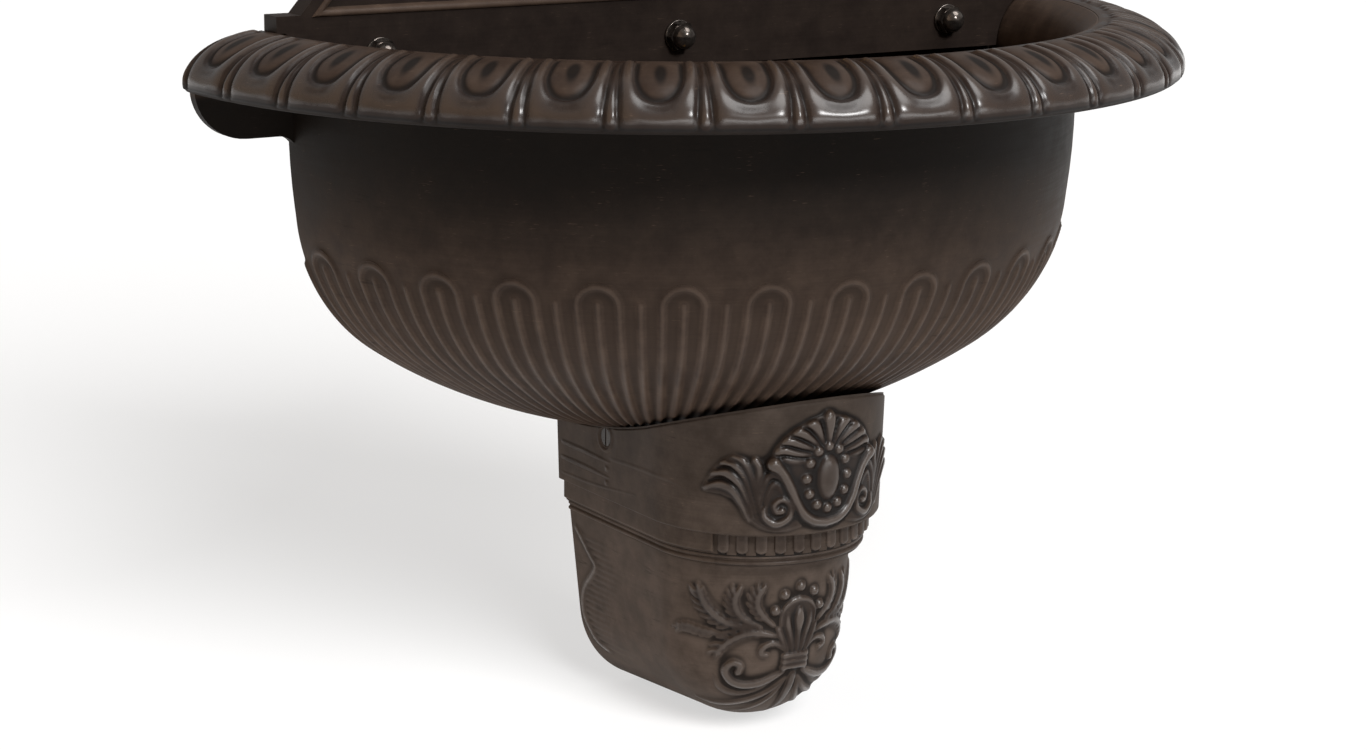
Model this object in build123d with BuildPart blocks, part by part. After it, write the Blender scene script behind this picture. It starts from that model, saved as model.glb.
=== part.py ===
"""Wall fountain: a half-round cast basin on a hollow corbel, under a back plate that carries a bib tap.

Millimetres. The origin is on the wall plane, at the middle, level with the basin's rim.
+X is to the right as the fountain is faced, +Y goes into the wall and +Z is up.
"""
import os
from functools import partial
from math import atan, cos, degrees, radians, sin

from build123d import *

os.makedirs("parts", exist_ok=True)

# Fits
WATER_GAP = 0.5       # between castings that are bedded on sealant
THREAD_GAP = 0.1      # radial, between a thread and its nut
SLIP_GAP = 0.5        # radial, a bolt or tube in its clearance hole
RUN_GAP = 0.05        # radial, a turning spindle in its bore
LIFT_GAP = 0.4        # radial, the lift-out plug in the drain

# Basin, its section drawn from the axis outwards and up to the rim
BOTTOM_R = 290.0
BOTTOM_ANGLE = 34.7
SHOULDER_R = 93.0
SHOULDER_ANGLE = 46.2
SIDE_R = 330.0
NECK_H = 16.0         # straight neck between the side and the flare
FLARE_H = 27.0        # height of the flare from the neck up to the ring
CAST_WALL = 7.0
RING_STEP = 9.4       # from the neck's outer face to the inner edge of the flat ring
RING_W = 3.5
LIP_REACH = 39.0      # from the crest to the outer edge of the rolled rim
LIP_DROP = 24.0       # height of the rolled rim
LIP_WALL = 6.0
BACK_WALL = 6.0
EAR_DROP = 49.0       # flat ears that close the hollow rim at the wall
EAR_NOSE = 28.0
EAR_FILLET = 10.0
WALL_BURY = 2.0       # the back wall's edge lies this far inside the bowl's outer face

# Egg and dart cast on the rolled rim
EGGS = 20
EGG_TURN = 31.0       # middle of an egg, degrees round the rim's section from its crest
EGG_RISE = 1.7
EGG_ROUND = 19.0      # radius across an egg
EGG_BEND = 27.0       # radius along it
COLLAR_R = 11.8       # inside the collar that runs round an egg
COLLAR_BAND = 3.2
COLLAR_DROP = 6.5     # from an egg's middle down to the middle of the collar's bend
COLLAR_TOP = 14.0     # from an egg's middle up to the ends of its collar
COLLAR_RISE = 1.1
DART_TOP_W = 1.2
DART_LOW_W = 3.2
DART_RISE = 0.7
DART_ENDS = 6.0       # from the crest to a dart's point, and from its foot past the rim's edge

# Raised lines cast on the bowl: round-headed tongues with a line inside and a line between
TONGUES = 16
LINE_W = 2.0
LINE_RISE = 0.8
LINE_TOP = -113.0
LINE_END_R = 75.0
LINE_CLEAR = 1.0      # the lines stop this far from the corbel

START_ANGLE = radians(BOTTOM_ANGLE)
TURN_ANGLE = radians(BOTTOM_ANGLE + SHOULDER_ANGLE)
SIDE_RISE = SHOULDER_R * (cos(START_ANGLE) - cos(TURN_ANGLE)) + SIDE_R * cos(TURN_ANGLE)
BOWL_DEPTH = BOTTOM_R * (1 - cos(START_ANGLE)) + SIDE_RISE + NECK_H + FLARE_H
SIDE_RUN = SHOULDER_R * (sin(TURN_ANGLE) - sin(START_ANGLE)) + SIDE_R * (1 - sin(TURN_ANGLE))
NECK_R = BOTTOM_R * sin(START_ANGLE) + SIDE_RUN
NECK_IN = NECK_R - CAST_WALL
RING_R = NECK_R + RING_STEP
CREST_R = RING_R + RING_W
LIP_R = CREST_R + LIP_REACH
FLARE_TURN = 2 * atan((RING_R - NECK_IN) / FLARE_H)
FLARE_R = FLARE_H / sin(FLARE_TURN)
BOWL_LOW = -BOWL_DEPTH

# Back plate
PLATE_DEPTH = 14.0
BAND_GAP = 1.6        # from the band's ends to the flare of the basin
BAND_BACK = BACK_WALL + WATER_GAP
PLINTH_X = RING_R + 2.0
PLINTH_TOP = 8.6
PLINTH_STEP = 12.5    # from the plinth's end to the foot of the upper panel
FOOT_X = PLINTH_X - PLINTH_STEP
SWEEP_ANGLE = 42.0
SWEEP_R = 270.0
PANEL_TOP_Z = 236.0   # shoulder of the panel, where the arch starts
SHELF_W = 19.6        # flat shelf between the panel's side and the arch
ARCH_R = FOOT_X - SWEEP_R * (1 - cos(radians(SWEEP_ANGLE))) - SHELF_W
BORDER = 8.0
FIELD_DEPTH = 3.5     # the field lies this far behind the border
FIELD_SKIN = 5.0
LAND_X = 30.0         # half width of the solid land behind the tap
WALL_HOLE_R = 4.5
WALL_HOLE_X = 95.0
WALL_HOLE_LOW = -45.0
WALL_HOLE_HIGH = 215.0

# Bolts between the back plate and the basin
BOLT_PITCH = 166.0
BOLT_Z = -11.5
BOLT_R = 4.0
BOLT_HEAD_R = 8.0
WASHER_R = 8.0
WASHER_T = 1.6
CAP_FLATS = 13.0
CAP_HEX_H = 4.0
CAP_DOME_R = 6.3
SEAL_T = WATER_GAP

# Corbel, its heights from the lowest point of the bowl
FRIEZE_TOP = BOWL_LOW + 48.5
FRIEZE_H = 77.0
FRIEZE_LOW = FRIEZE_TOP - FRIEZE_H
FRIEZE_X = 62.4       # half width at the top of the frieze
FRIEZE_LOW_X = 60.0
FRIEZE_CENTRE = 93.0  # distance of the round front's axis from the wall
COURSE_X = 56.2
COURSE_H = 11.5
COURSE_LOW = FRIEZE_LOW - COURSE_H
COURSE_CENTRE = 90.0
FILLET_X = 54.2
FILLET_H = 5.5
FILLET_LOW = COURSE_LOW - FILLET_H
FOOT_R = 48.0
FOOT_H = 97.0
FOOT_BOTTOM = FILLET_LOW - FOOT_H
FOOT_DRAFT = 6.4
FOOT_CENTRE = 82.0
KEEL_RISE = 5.0       # the foot's lowest line rises this much from the wall to the round front
CORBEL_WALL = 6.0
SCRIBE_R = BOTTOM_R + 40.0  # flatter than the bowl, so the gap under it opens to the front
SCRIBE_GAP = 0.2
FLUTES = 11
FLUTE_PITCH = 9.4
FLUTE_R = 2.5

# Corbel bracket and screws
STRAP_T = 3.0
STRAP_HIGH = BOWL_LOW - 7.5
STRAP_CLEAR = 0.5     # the strap clears the floor of the corbel's upper hollow by this
ARM_REACH = 70.0
TAB_TOP = BOWL_LOW + 6.9
TAB_SLOPE = 0.8
SCREW_Y = -48.0
SCREW_Z = BOWL_LOW + 3.5
SCREW_R = 2.5
SCREW_HEAD_R = 4.8
SCREW_HEAD_GAP = 0.3
SCREW_SINK = 0.2
SCREW_LENGTH = 12.0
SCREW_SLOT = 1.2
SCREW_FACE = FRIEZE_LOW_X + (FRIEZE_X - FRIEZE_LOW_X) * (SCREW_Z - FRIEZE_LOW) / FRIEZE_H
BRACKET_HOLE_X = 30.0
BRACKET_HOLE_R = 3.5

# Drain, its heights from the lowest point of the bowl
DRAIN_Y = -44.0
DRAIN_SEAT = BOWL_LOW + 2.0
DRAIN_BOSS_LOW = BOWL_LOW - 6.5
DRAIN_BOSS_R = 33.0
DRAIN_WELL_R = 28.0
DRAIN_TUBE_R = 16.0
DRAIN_BORE_R = 13.0
DRAIN_SEAL_T = 1.5
DRAIN_FLANGE_T = 3.0
DRAIN_GASKET_T = 3.0
DRAIN_NUT_H = 8.0
DRAIN_NUT_FLATS = 46.0
DRAIN_TUBE_LOW = DRAIN_BOSS_LOW - 31.0
SOCKET_TOP = DRAIN_BOSS_LOW - 16.0
SOCKET_R = 20.0
BEND_R = 24.0
PIPE_R = 17.0
UNION_R = 24.0
PLUG_DISC_R = 18.0
PLUG_DISC_T = 2.5

# Tap, heights from the axis of its inlet
TAP_Z = 150.0
TAIL_R = 10.4
WATERWAY_R = 6.0
ROSETTE_R = 27.0
ROSETTE_T = 7.0
COLLAR_FLATS = 28.0
COLLAR_T = 7.5
BARREL_R = 12.0
COLUMN_Y = 62.0
COLUMN_R = 13.5
COLUMN_TOP = 34.0
CHAMBER_R = 9.2
DISC_SEAT = 7.0
DISC_T = 3.0
DISC_PORT_R = 2.6
DISC_PORT_X = 4.5
SPOUT_R = 9.0
SPOUT_RISE = 19.0
SPOUT_REACH = 110.0
SPOUT_BEND = 26.0
SPOUT_DROP = 34.0
BONNET_IN = 8.0
BONNET_FLATS = 24.0
BONNET_SEAL_T = 1.5
SPINDLE_R = 4.0
HANDLE_HUB_R = 9.0
HANDLE_HUB_H = 14.0
HANDLE_EDGE = 2.0
HANDLE_CAP_R = 6.5
HANDLE_CAP_H = 3.5
HANDLE_SCREW_R = 2.0
HANDLE_SCREW = 11.0
HANDLE_ARM = 34.0
HANDLE_ARM_R = 3.6
HANDLE_BALL_R = 6.2

REAR = Plane(origin=(0, 0, 0), x_dir=(-1, 0, 0), z_dir=(0, 1, 0))
FRONT_TURN = Axis((0, 0, 0), (0, 0, -1))
UP = (Align.CENTER, Align.CENTER, Align.MIN)
DOWN = (Align.CENTER, Align.CENTER, Align.MAX)
BOLTS = [(-BOLT_PITCH, BOLT_Z), (0, BOLT_Z), (BOLT_PITCH, BOLT_Z)]


def bowl_side(inset):
    """Draws the bowl's section from the axis up to the neck, inset from its outer face."""
    bottom = JernArc((0, inset - BOWL_DEPTH), (1, 0), BOTTOM_R - inset, BOTTOM_ANGLE)
    shoulder = JernArc(bottom @ 1, bottom % 1, SHOULDER_R - inset, SHOULDER_ANGLE)
    return JernArc(shoulder @ 1, shoulder % 1, SIDE_R - inset, 90 - BOTTOM_ANGLE - SHOULDER_ANGLE)


def lip_arc(wall):
    """Draws the quarter ellipse of the rolled rim, from its lower edge to its crest."""
    return EllipticalCenterArc((CREST_R, -LIP_DROP), LIP_R - CREST_R - wall, LIP_DROP - wall, 0, arc_size=90)


def lip_band(out):
    """Draws a band along the rolled rim, from the middle of its wall to a height above it."""
    with BuildLine() as outline:
        inner = lip_arc(LIP_WALL / 2)
        outer = lip_arc(-out)
        Line(inner @ 0, outer @ 0)
        Line(inner @ 1, outer @ 1)
    make_face(outline.edges())


def bowl_band(out):
    """Draws a band along the bowl's section, from the middle of its wall to a height above it."""
    with BuildLine() as outline:
        inner = bowl_side(CAST_WALL / 2)
        outer = bowl_side(-out)
        Line(inner @ 1, outer @ 1)
        Line((0, CAST_WALL / 2 - BOWL_DEPTH), (0, -out - BOWL_DEPTH))
    make_face(outline.edges())


def keep_band(draw, out):
    """Keeps of the part only what lies in a band carried round the basin's axis."""
    with BuildSketch(Plane.XZ) as band:
        draw(out)
    revolve(band.sketch, Axis.Z, 360, mode=Mode.INTERSECT)


# One egg, its collar and one dart, on the rim to the right of the axis
EGG_X = CREST_R + LIP_REACH * sin(radians(EGG_TURN))
EGG_Z = LIP_DROP * (cos(radians(EGG_TURN)) - 1)
EGG_SLOPE = atan(LIP_DROP * sin(radians(EGG_TURN)) / (LIP_REACH * cos(radians(EGG_TURN))))
EGG_OUT = (sin(EGG_SLOPE), 0, cos(EGG_SLOPE))
EGG_DOWN = (cos(EGG_SLOPE), 0, -sin(EGG_SLOPE))
EGG_FACE = Plane(origin=(EGG_X, 0, EGG_Z), x_dir=EGG_DOWN, z_dir=EGG_OUT)
EGG_CUT = Plane(origin=EGG_FACE.from_local_coords((0, 0, EGG_RISE)), x_dir=EGG_DOWN, z_dir=(0, -1, 0))
with BuildPart() as egg:
    with BuildSketch(EGG_CUT):
        with BuildLine():
            half_egg = (EGG_BEND**2 - (EGG_BEND - EGG_ROUND) ** 2) ** 0.5
            crown = ThreePointArc((-half_egg, -EGG_ROUND), (0, 0), (half_egg, -EGG_ROUND))
            Line(crown @ 0, crown @ 1)
        make_face()
    revolve(axis=Axis(EGG_FACE.from_local_coords((0, 0, EGG_RISE - EGG_ROUND)), EGG_DOWN))
    keep_band(lip_band, 2 * EGG_RISE)

with BuildPart() as collar:
    with BuildSketch(EGG_FACE):
        with Locations((COLLAR_DROP, 0)):
            for radius, mode in ((COLLAR_R + COLLAR_BAND, Mode.ADD), (COLLAR_R, Mode.SUBTRACT)):
                Circle(radius, mode=mode)
                Rectangle(COLLAR_DROP + COLLAR_TOP, 2 * radius, align=(Align.MAX, Align.CENTER), mode=mode)
    extrude(amount=LIP_DROP / 2, both=True)
    keep_band(lip_band, COLLAR_RISE)

with BuildPart() as dart:
    with BuildSketch(Plane.XY.offset(DART_ENDS / 2 - LIP_DROP)):
        with BuildLine():
            Polyline(
                (CREST_R + DART_ENDS, -DART_TOP_W / 2),
                (LIP_R + DART_ENDS, -DART_LOW_W / 2),
                (LIP_R + DART_ENDS, DART_LOW_W / 2),
                (CREST_R + DART_ENDS, DART_TOP_W / 2),
                close=True,
            )
        make_face()
    extrude(amount=LIP_DROP)
    keep_band(lip_band, DART_RISE)

# One raised line, one round head, and the set of them, clear of the corbel
LINE_STEP = 180 / (4 * TONGUES)
HEAD_R = NECK_IN * radians(LINE_STEP)
with BuildPart() as line:
    with Locations((LINE_END_R, 0, LINE_TOP)):
        Box(NECK_R, LINE_W, BOWL_DEPTH, align=(Align.MIN, Align.CENTER, Align.MAX))
    keep_band(bowl_band, LINE_RISE)

with BuildPart() as head:
    with BuildSketch(Plane.YZ.offset(NECK_IN - SHOULDER_R / 2)):
        with Locations((0, LINE_TOP)):
            Circle(HEAD_R + LINE_W / 2)
            Circle(HEAD_R - LINE_W / 2, mode=Mode.SUBTRACT)
            Rectangle(4 * HEAD_R, 2 * HEAD_R, align=(Align.CENTER, Align.MAX), mode=Mode.SUBTRACT)
    extrude(amount=SHOULDER_R)
    keep_band(bowl_band, LINE_RISE)

with BuildPart() as bowl_lines:
    with PolarLocations(0, 4 * TONGUES - 1, 180 + LINE_STEP, 180 - 2 * LINE_STEP, endpoint=True):
        add(line.part)
    with PolarLocations(0, TONGUES, 180 + 2 * LINE_STEP, 180 - 4 * LINE_STEP, endpoint=True):
        add(head.part)
    with BuildSketch(Plane.XY):
        Rectangle(2 * (FRIEZE_X + LINE_CLEAR), FRIEZE_CENTRE, align=(Align.CENTER, Align.MAX))
        with Locations((0, -FRIEZE_CENTRE)):
            Circle(FRIEZE_X + LINE_CLEAR)
    extrude(amount=-2 * BOWL_DEPTH, mode=Mode.SUBTRACT)

# The whole run of eggs, collars and darts
EGG_STEP = 180 / EGGS
with BuildPart() as rim_relief:
    with PolarLocations(0, EGGS, 180 + EGG_STEP / 2, 180 - EGG_STEP, endpoint=True):
        add([egg.part, collar.part])
    with PolarLocations(0, EGGS - 1, 180 + EGG_STEP, 180 - 2 * EGG_STEP, endpoint=True):
        add(dart.part)

# Basin casting: bowl with its raised lines, rolled rim with egg and dart, drain boss and flat back wall
with BuildPart() as basin:
    with BuildSketch(Plane.XZ):
        with BuildLine():
            side = bowl_side(0)
            Line(side @ 1, (NECK_R, -FLARE_H))
            hollow = lip_arc(LIP_WALL)
            Line((NECK_R, -FLARE_H), hollow @ 1)
            roll = lip_arc(0)
            Line(hollow @ 0, roll @ 0)
            Polyline(roll @ 1, (0, 0), (0, -BOWL_DEPTH))
        make_face()
    revolve(axis=FRONT_TURN, revolution_arc=180)
    with Locations((0, DRAIN_Y, DRAIN_BOSS_LOW)):
        Cylinder(DRAIN_BOSS_R, 25, align=UP)
    with BuildSketch(Plane.XZ):
        with BuildLine():
            inner = bowl_side(CAST_WALL)
            neck = Line(inner @ 1, (NECK_IN, -FLARE_H))
            flare = JernArc(neck @ 1, (0, 1), FLARE_R, -degrees(FLARE_TURN))
            Polyline(flare @ 1, (RING_R, 5), (0, 5), (0, CAST_WALL - BOWL_DEPTH))
        make_face()
    revolve(axis=FRONT_TURN, revolution_arc=180, mode=Mode.SUBTRACT)
    with BuildSketch(Plane.XZ) as back_wall:
        with BuildLine():
            wall_side = bowl_side(WALL_BURY)
            wall_top = Line(wall_side @ 1, (NECK_R - WALL_BURY, -WALL_BURY))
            Polyline(wall_top @ 1, (0, -WALL_BURY), (0, WALL_BURY - BOWL_DEPTH))
        make_face()
        with BuildLine():
            ear_top = lip_arc(WALL_BURY)
            nose_x = EAR_NOSE - WALL_BURY
            nose_z = EAR_DROP - LIP_DROP
            nose = EllipticalCenterArc((LIP_R - EAR_NOSE, -LIP_DROP), nose_x, nose_z, 270, arc_size=90)
            Polyline(ear_top @ 1, (0, (ear_top @ 1).Y), (0, -EAR_DROP), nose @ 0)
        make_face()
        fillet(back_wall.vertices().sort_by_distance((NECK_R, -EAR_DROP))[0], EAR_FILLET)
        Rectangle(CREST_R - 1, LIP_DROP, align=(Align.MIN, Align.MAX))
        mirror(about=Plane.YZ)
    extrude(amount=BACK_WALL)
    with Locations((0, DRAIN_Y, DRAIN_SEAT)):
        Cylinder(DRAIN_WELL_R, 40, align=UP, mode=Mode.SUBTRACT)
        Cylinder(DRAIN_TUBE_R + SLIP_GAP, 40, mode=Mode.SUBTRACT)
    with Locations(REAR):
        with Locations(*BOLTS):
            CounterSinkHole(BOLT_R + SLIP_GAP, BOLT_HEAD_R + 0.3, BACK_WALL + 1, 90)
        with Locations((-WALL_HOLE_X, WALL_HOLE_LOW), (WALL_HOLE_X, WALL_HOLE_LOW)):
            Hole(WALL_HOLE_R, BACK_WALL + 1)
    add([bowl_lines.part, rim_relief.part])
basin.part.label = "basin"
export_step(basin.part, "parts/basin.step")

# Back plate casting: band inside the rim, plinth on the ring, panel with a raised border and a hollow back
with BuildPart() as back_plate:
    with BuildSketch(Plane.XZ) as panel:
        with BuildLine():
            base = Line((0, PLINTH_TOP + 2 - BORDER), (FOOT_X, PLINTH_TOP + 2 - BORDER))
            foot = Line(base @ 1, (FOOT_X, PLINTH_TOP))
            lean = radians(90 - SWEEP_ANGLE)
            sweep_edge = JernArc(foot @ 1, (-cos(lean), sin(lean)), SWEEP_R, -SWEEP_ANGLE)
            jamb = Line(sweep_edge @ 1, ((sweep_edge @ 1).X, PANEL_TOP_Z))
            arch = JernArc((ARCH_R, PANEL_TOP_Z), (0, 1), ARCH_R, 90)
            Line(jamb @ 1, arch @ 0)
            Line(arch @ 1, base @ 0)
        make_face()
        mirror(about=Plane.YZ)
    extrude(amount=PLATE_DEPTH)
    with BuildSketch(Plane.XZ):
        with Locations((0, WATER_GAP)):
            Rectangle(2 * PLINTH_X, PLINTH_TOP - WATER_GAP, align=(Align.CENTER, Align.MIN))
    extrude(amount=PLATE_DEPTH)
    with BuildSketch(Plane.XZ.offset(BAND_BACK)):
        with BuildLine():
            edge = JernArc((NECK_IN - BAND_GAP, -FLARE_H), (0, 1), FLARE_R + BAND_GAP, -degrees(FLARE_TURN))
            Polyline(edge @ 1, (0, (edge @ 1).Y), (0, -FLARE_H), edge @ 0)
        make_face()
        mirror(about=Plane.YZ)
    extrude(amount=PLATE_DEPTH - BAND_BACK)
    with BuildSketch(Plane.XZ.offset(PLATE_DEPTH - FIELD_DEPTH)):
        offset(panel.sketch_local, amount=-BORDER)
    extrude(amount=FIELD_DEPTH, mode=Mode.SUBTRACT)
    with BuildSketch(Plane.XZ):
        offset(panel.sketch_local, amount=-BORDER)
        Rectangle(2 * LAND_X, 2000, mode=Mode.SUBTRACT)
        with Locations((-WALL_HOLE_X, WALL_HOLE_HIGH), (WALL_HOLE_X, WALL_HOLE_HIGH)):
            Circle(WALL_HOLE_R + 8, mode=Mode.SUBTRACT)
        with Locations((0, TAP_Z)):
            Circle(LAND_X - 8)
    extrude(amount=PLATE_DEPTH - FIELD_DEPTH - FIELD_SKIN, mode=Mode.SUBTRACT)
    with Locations(REAR):
        with Locations(*BOLTS):
            Hole(BOLT_R + SLIP_GAP, PLATE_DEPTH + 1)
        with Locations((-WALL_HOLE_X, WALL_HOLE_HIGH), (WALL_HOLE_X, WALL_HOLE_HIGH)):
            Hole(WALL_HOLE_R, PLATE_DEPTH + 1)
        with Locations((0, TAP_Z)):
            Hole(TAIL_R + SLIP_GAP, PLATE_DEPTH + 1)
back_plate.part.label = "back_plate"
export_step(back_plate.part, "parts/back_plate.step")

# Countersunk bolts, flush with the wall face, and the seals between band and basin wall
with BuildPart(REAR) as plate_bolts:
    with Locations(*[(x, z, -0.3) for x, z in BOLTS]):
        Cone(BOLT_R, BOLT_HEAD_R - 0.3, BOLT_HEAD_R - 0.3 - BOLT_R, align=DOWN)
        Cylinder(BOLT_R, PLATE_DEPTH + WASHER_T + CAP_HEX_H + 2, align=DOWN)
plate_bolts.part.label = "plate_bolts"
export_step(plate_bolts.part, "parts/plate_bolts.step")

with BuildPart(REAR) as plate_seals:
    with Locations(*[(x, z, -BACK_WALL) for x, z in BOLTS]):
        Cylinder(WASHER_R + 2, SEAL_T, align=DOWN)
        Cylinder(BOLT_R + SLIP_GAP, SEAL_T, align=DOWN, mode=Mode.SUBTRACT)
plate_seals.part.label = "plate_seals"
export_step(plate_seals.part, "parts/plate_seals.step")

with BuildPart(REAR) as plate_washers:
    with Locations(*[(x, z, -PLATE_DEPTH) for x, z in BOLTS]):
        Cylinder(WASHER_R, WASHER_T, align=DOWN)
    fillet(plate_washers.edges().group_by(Axis.Y)[0].sort_by(Edge.length)[-3:], 0.5)
    with Locations(*[(x, z, -PLATE_DEPTH) for x, z in BOLTS]):
        Cylinder(BOLT_R + SLIP_GAP, WASHER_T, align=DOWN, mode=Mode.SUBTRACT)
plate_washers.part.label = "plate_washers"
export_step(plate_washers.part, "parts/plate_washers.step")

# Cap nuts: a short hexagon with a dome, on a blind thread
with BuildPart() as plate_cap_nuts:
    with BuildSketch(Plane.XZ.offset(PLATE_DEPTH + WASHER_T)):
        with Locations(*BOLTS):
            RegularPolygon(CAP_FLATS / 2, 6, major_radius=False)
    extrude(amount=CAP_HEX_H)
    with Locations(*[(x, -PLATE_DEPTH - WASHER_T - CAP_HEX_H, z) for x, z in BOLTS]):
        Sphere(CAP_DOME_R)
    with Locations(*[(x, -PLATE_DEPTH - WASHER_T, z) for x, z in BOLTS]):
        Box(20, 20, 20, align=(Align.CENTER, Align.MIN, Align.CENTER), mode=Mode.SUBTRACT)
    with Locations(REAR):
        with Locations(*[(x, z, -PLATE_DEPTH - WASHER_T) for x, z in BOLTS]):
            Cylinder(BOLT_R + THREAD_GAP, CAP_HEX_H + 3, align=DOWN, mode=Mode.SUBTRACT)
plate_cap_nuts.part.label = "plate_cap_nuts"
export_step(plate_cap_nuts.part, "parts/plate_cap_nuts.step")


def stadium(draw, centre, mode=Mode.ADD):
    """Carries a half section straight out from the wall, then a half turn round the front."""
    with BuildSketch(Plane.XZ) as whole:
        draw()
        mirror(about=Plane.YZ)
    extrude(whole.sketch, amount=centre, mode=mode)
    with BuildSketch(Plane.XZ.offset(centre)) as half:
        draw()
    revolve(half.sketch, Axis((0, -centre, 0), (0, 0, -1)), 180, mode=mode)


def block(top_x, top, low_x, low):
    """Half section of a straight course of the corbel."""
    with BuildLine() as outline:
        Polyline((0, top), (top_x, top), (low_x, low), (0, low), close=True)
    make_face(outline.edges())


def round_foot(inset, top, lift):
    """Half section of the corbel's foot: a round end with drafted sides, its lowest point lifted."""
    with BuildLine() as outline:
        end = JernArc((0, FOOT_BOTTOM + inset + lift), (1, 0), FOOT_R - inset, 90 - FOOT_DRAFT)
        rise = top - (end @ 1).Y
        flank = Line(end @ 1, ((end @ 1).X + rise * sin(radians(FOOT_DRAFT)), top))
        Polyline(flank @ 1, (0, top), end @ 0)
    make_face(outline.edges())


def keeled_foot(inset, top, mode=Mode.ADD):
    """Carries the foot's section out from the wall with its keel rising, then a half turn round the front."""
    with BuildSketch(Plane.XZ) as wall_end:
        round_foot(inset, top, 0)
        mirror(about=Plane.YZ)
    with BuildSketch(Plane.XZ.offset(FOOT_CENTRE)) as front_end:
        round_foot(inset, top, KEEL_RISE)
        mirror(about=Plane.YZ)
    loft([wall_end.sketch.face(), front_end.sketch.face()], ruled=True, mode=mode)
    with BuildSketch(Plane.XZ.offset(FOOT_CENTRE)) as half:
        round_foot(inset, top, KEEL_RISE)
    revolve(half.sketch, Axis((0, -FOOT_CENTRE, 0), (0, 0, -1)), 180, mode=mode)


def flank_plane(turn, out):
    """Plane through a corbel screw's axis, facing out of the left (-1) or right (1) flank."""
    return Plane(origin=(turn * out, SCREW_Y, SCREW_Z), x_dir=(0, 1, 0), z_dir=(turn, 0, 0))


HOLLOW_X = FRIEZE_LOW_X - CORBEL_WALL
HOLLOW_FLOOR = FRIEZE_LOW + CORBEL_WALL

# Corbel casting: frieze, fluted course, fillet and round foot, hollow and open to the wall
with BuildPart() as console:
    keeled_foot(0, FILLET_LOW + 2)
    stadium(partial(block, FILLET_X, COURSE_LOW + 2, FILLET_X, FILLET_LOW), COURSE_CENTRE)
    stadium(partial(block, COURSE_X, FRIEZE_LOW + 2, COURSE_X, COURSE_LOW), COURSE_CENTRE)
    stadium(partial(block, FRIEZE_X, FRIEZE_TOP, FRIEZE_LOW_X, FRIEZE_LOW), FRIEZE_CENTRE)
    keeled_foot(CORBEL_WALL, HOLLOW_FLOOR + 1, Mode.SUBTRACT)
    stadium(partial(block, HOLLOW_X, FRIEZE_TOP + 1, HOLLOW_X, HOLLOW_FLOOR), FRIEZE_CENTRE, Mode.SUBTRACT)
    with Locations((0, 0, SCRIBE_R - BOWL_DEPTH - SCRIBE_GAP)):
        Sphere(SCRIBE_R, mode=Mode.SUBTRACT)
    flute_step = degrees(FLUTE_PITCH / COURSE_X)
    flute_span = flute_step * (FLUTES - 1)
    with Locations((0, -COURSE_CENTRE, COURSE_LOW)):
        with PolarLocations(COURSE_X + 0.6, FLUTES, 270 - flute_span / 2, flute_span, endpoint=True):
            Cylinder(FLUTE_R, FRIEZE_LOW - COURSE_LOW, align=UP, mode=Mode.SUBTRACT)
    for turn in (-1, 1):
        with Locations(flank_plane(turn, SCREW_FACE)):
            CounterSinkHole(SCREW_R + SLIP_GAP, SCREW_HEAD_R + SCREW_HEAD_GAP, 2 * SCREW_LENGTH, 90)
console.part.label = "console"
export_step(console.part, "parts/console.step")

# Steel bracket inside the corbel: a strap on the wall with an arm along each flank
ARM_X = HOLLOW_X
STRAP_LOW = HOLLOW_FLOOR + STRAP_CLEAR
STRAP_MID = (STRAP_LOW + STRAP_HIGH) / 2
with BuildPart() as console_bracket:
    with Locations((0, 0, STRAP_LOW)):
        Box(2 * ARM_X, STRAP_T, STRAP_HIGH - STRAP_LOW, align=(Align.CENTER, Align.MAX, Align.MIN))
    with BuildSketch(Plane.YZ.offset(ARM_X - STRAP_T)):
        with BuildLine():
            Polyline(
                (0, STRAP_LOW),
                (-ARM_REACH, STRAP_LOW),
                (-ARM_REACH, STRAP_HIGH),
                (SCREW_Y - 8, TAB_TOP),
                (SCREW_Y + 7, TAB_TOP - TAB_SLOPE),
                (SCREW_Y + 16, STRAP_HIGH),
                (0, STRAP_HIGH),
                close=True,
            )
        make_face()
    extrude(amount=STRAP_T)
    with Locations(flank_plane(1, ARM_X)):
        Hole(SCREW_R + THREAD_GAP, STRAP_T)
    mirror(about=Plane.YZ)
    with Locations(REAR):
        with Locations((-BRACKET_HOLE_X, STRAP_MID), (BRACKET_HOLE_X, STRAP_MID)):
            Hole(BRACKET_HOLE_R, STRAP_T + 1)
console_bracket.part.label = "console_bracket"
export_step(console_bracket.part, "parts/console_bracket.step")

SCREW_CONE_R = SCREW_HEAD_R - SCREW_HEAD_GAP
with BuildPart() as console_screws:
    for turn in (-1, 1):
        with Locations(flank_plane(turn, SCREW_FACE - SCREW_SINK)):
            Cone(SCREW_R, SCREW_CONE_R, SCREW_CONE_R - SCREW_R, align=DOWN)
            Cylinder(SCREW_R, SCREW_LENGTH, align=DOWN)
            Box(SCREW_SLOT, 2 * SCREW_HEAD_R, SCREW_SLOT, align=DOWN, mode=Mode.SUBTRACT)
console_screws.part.label = "console_screws"
export_step(console_screws.part, "parts/console_screws.step")

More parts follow.
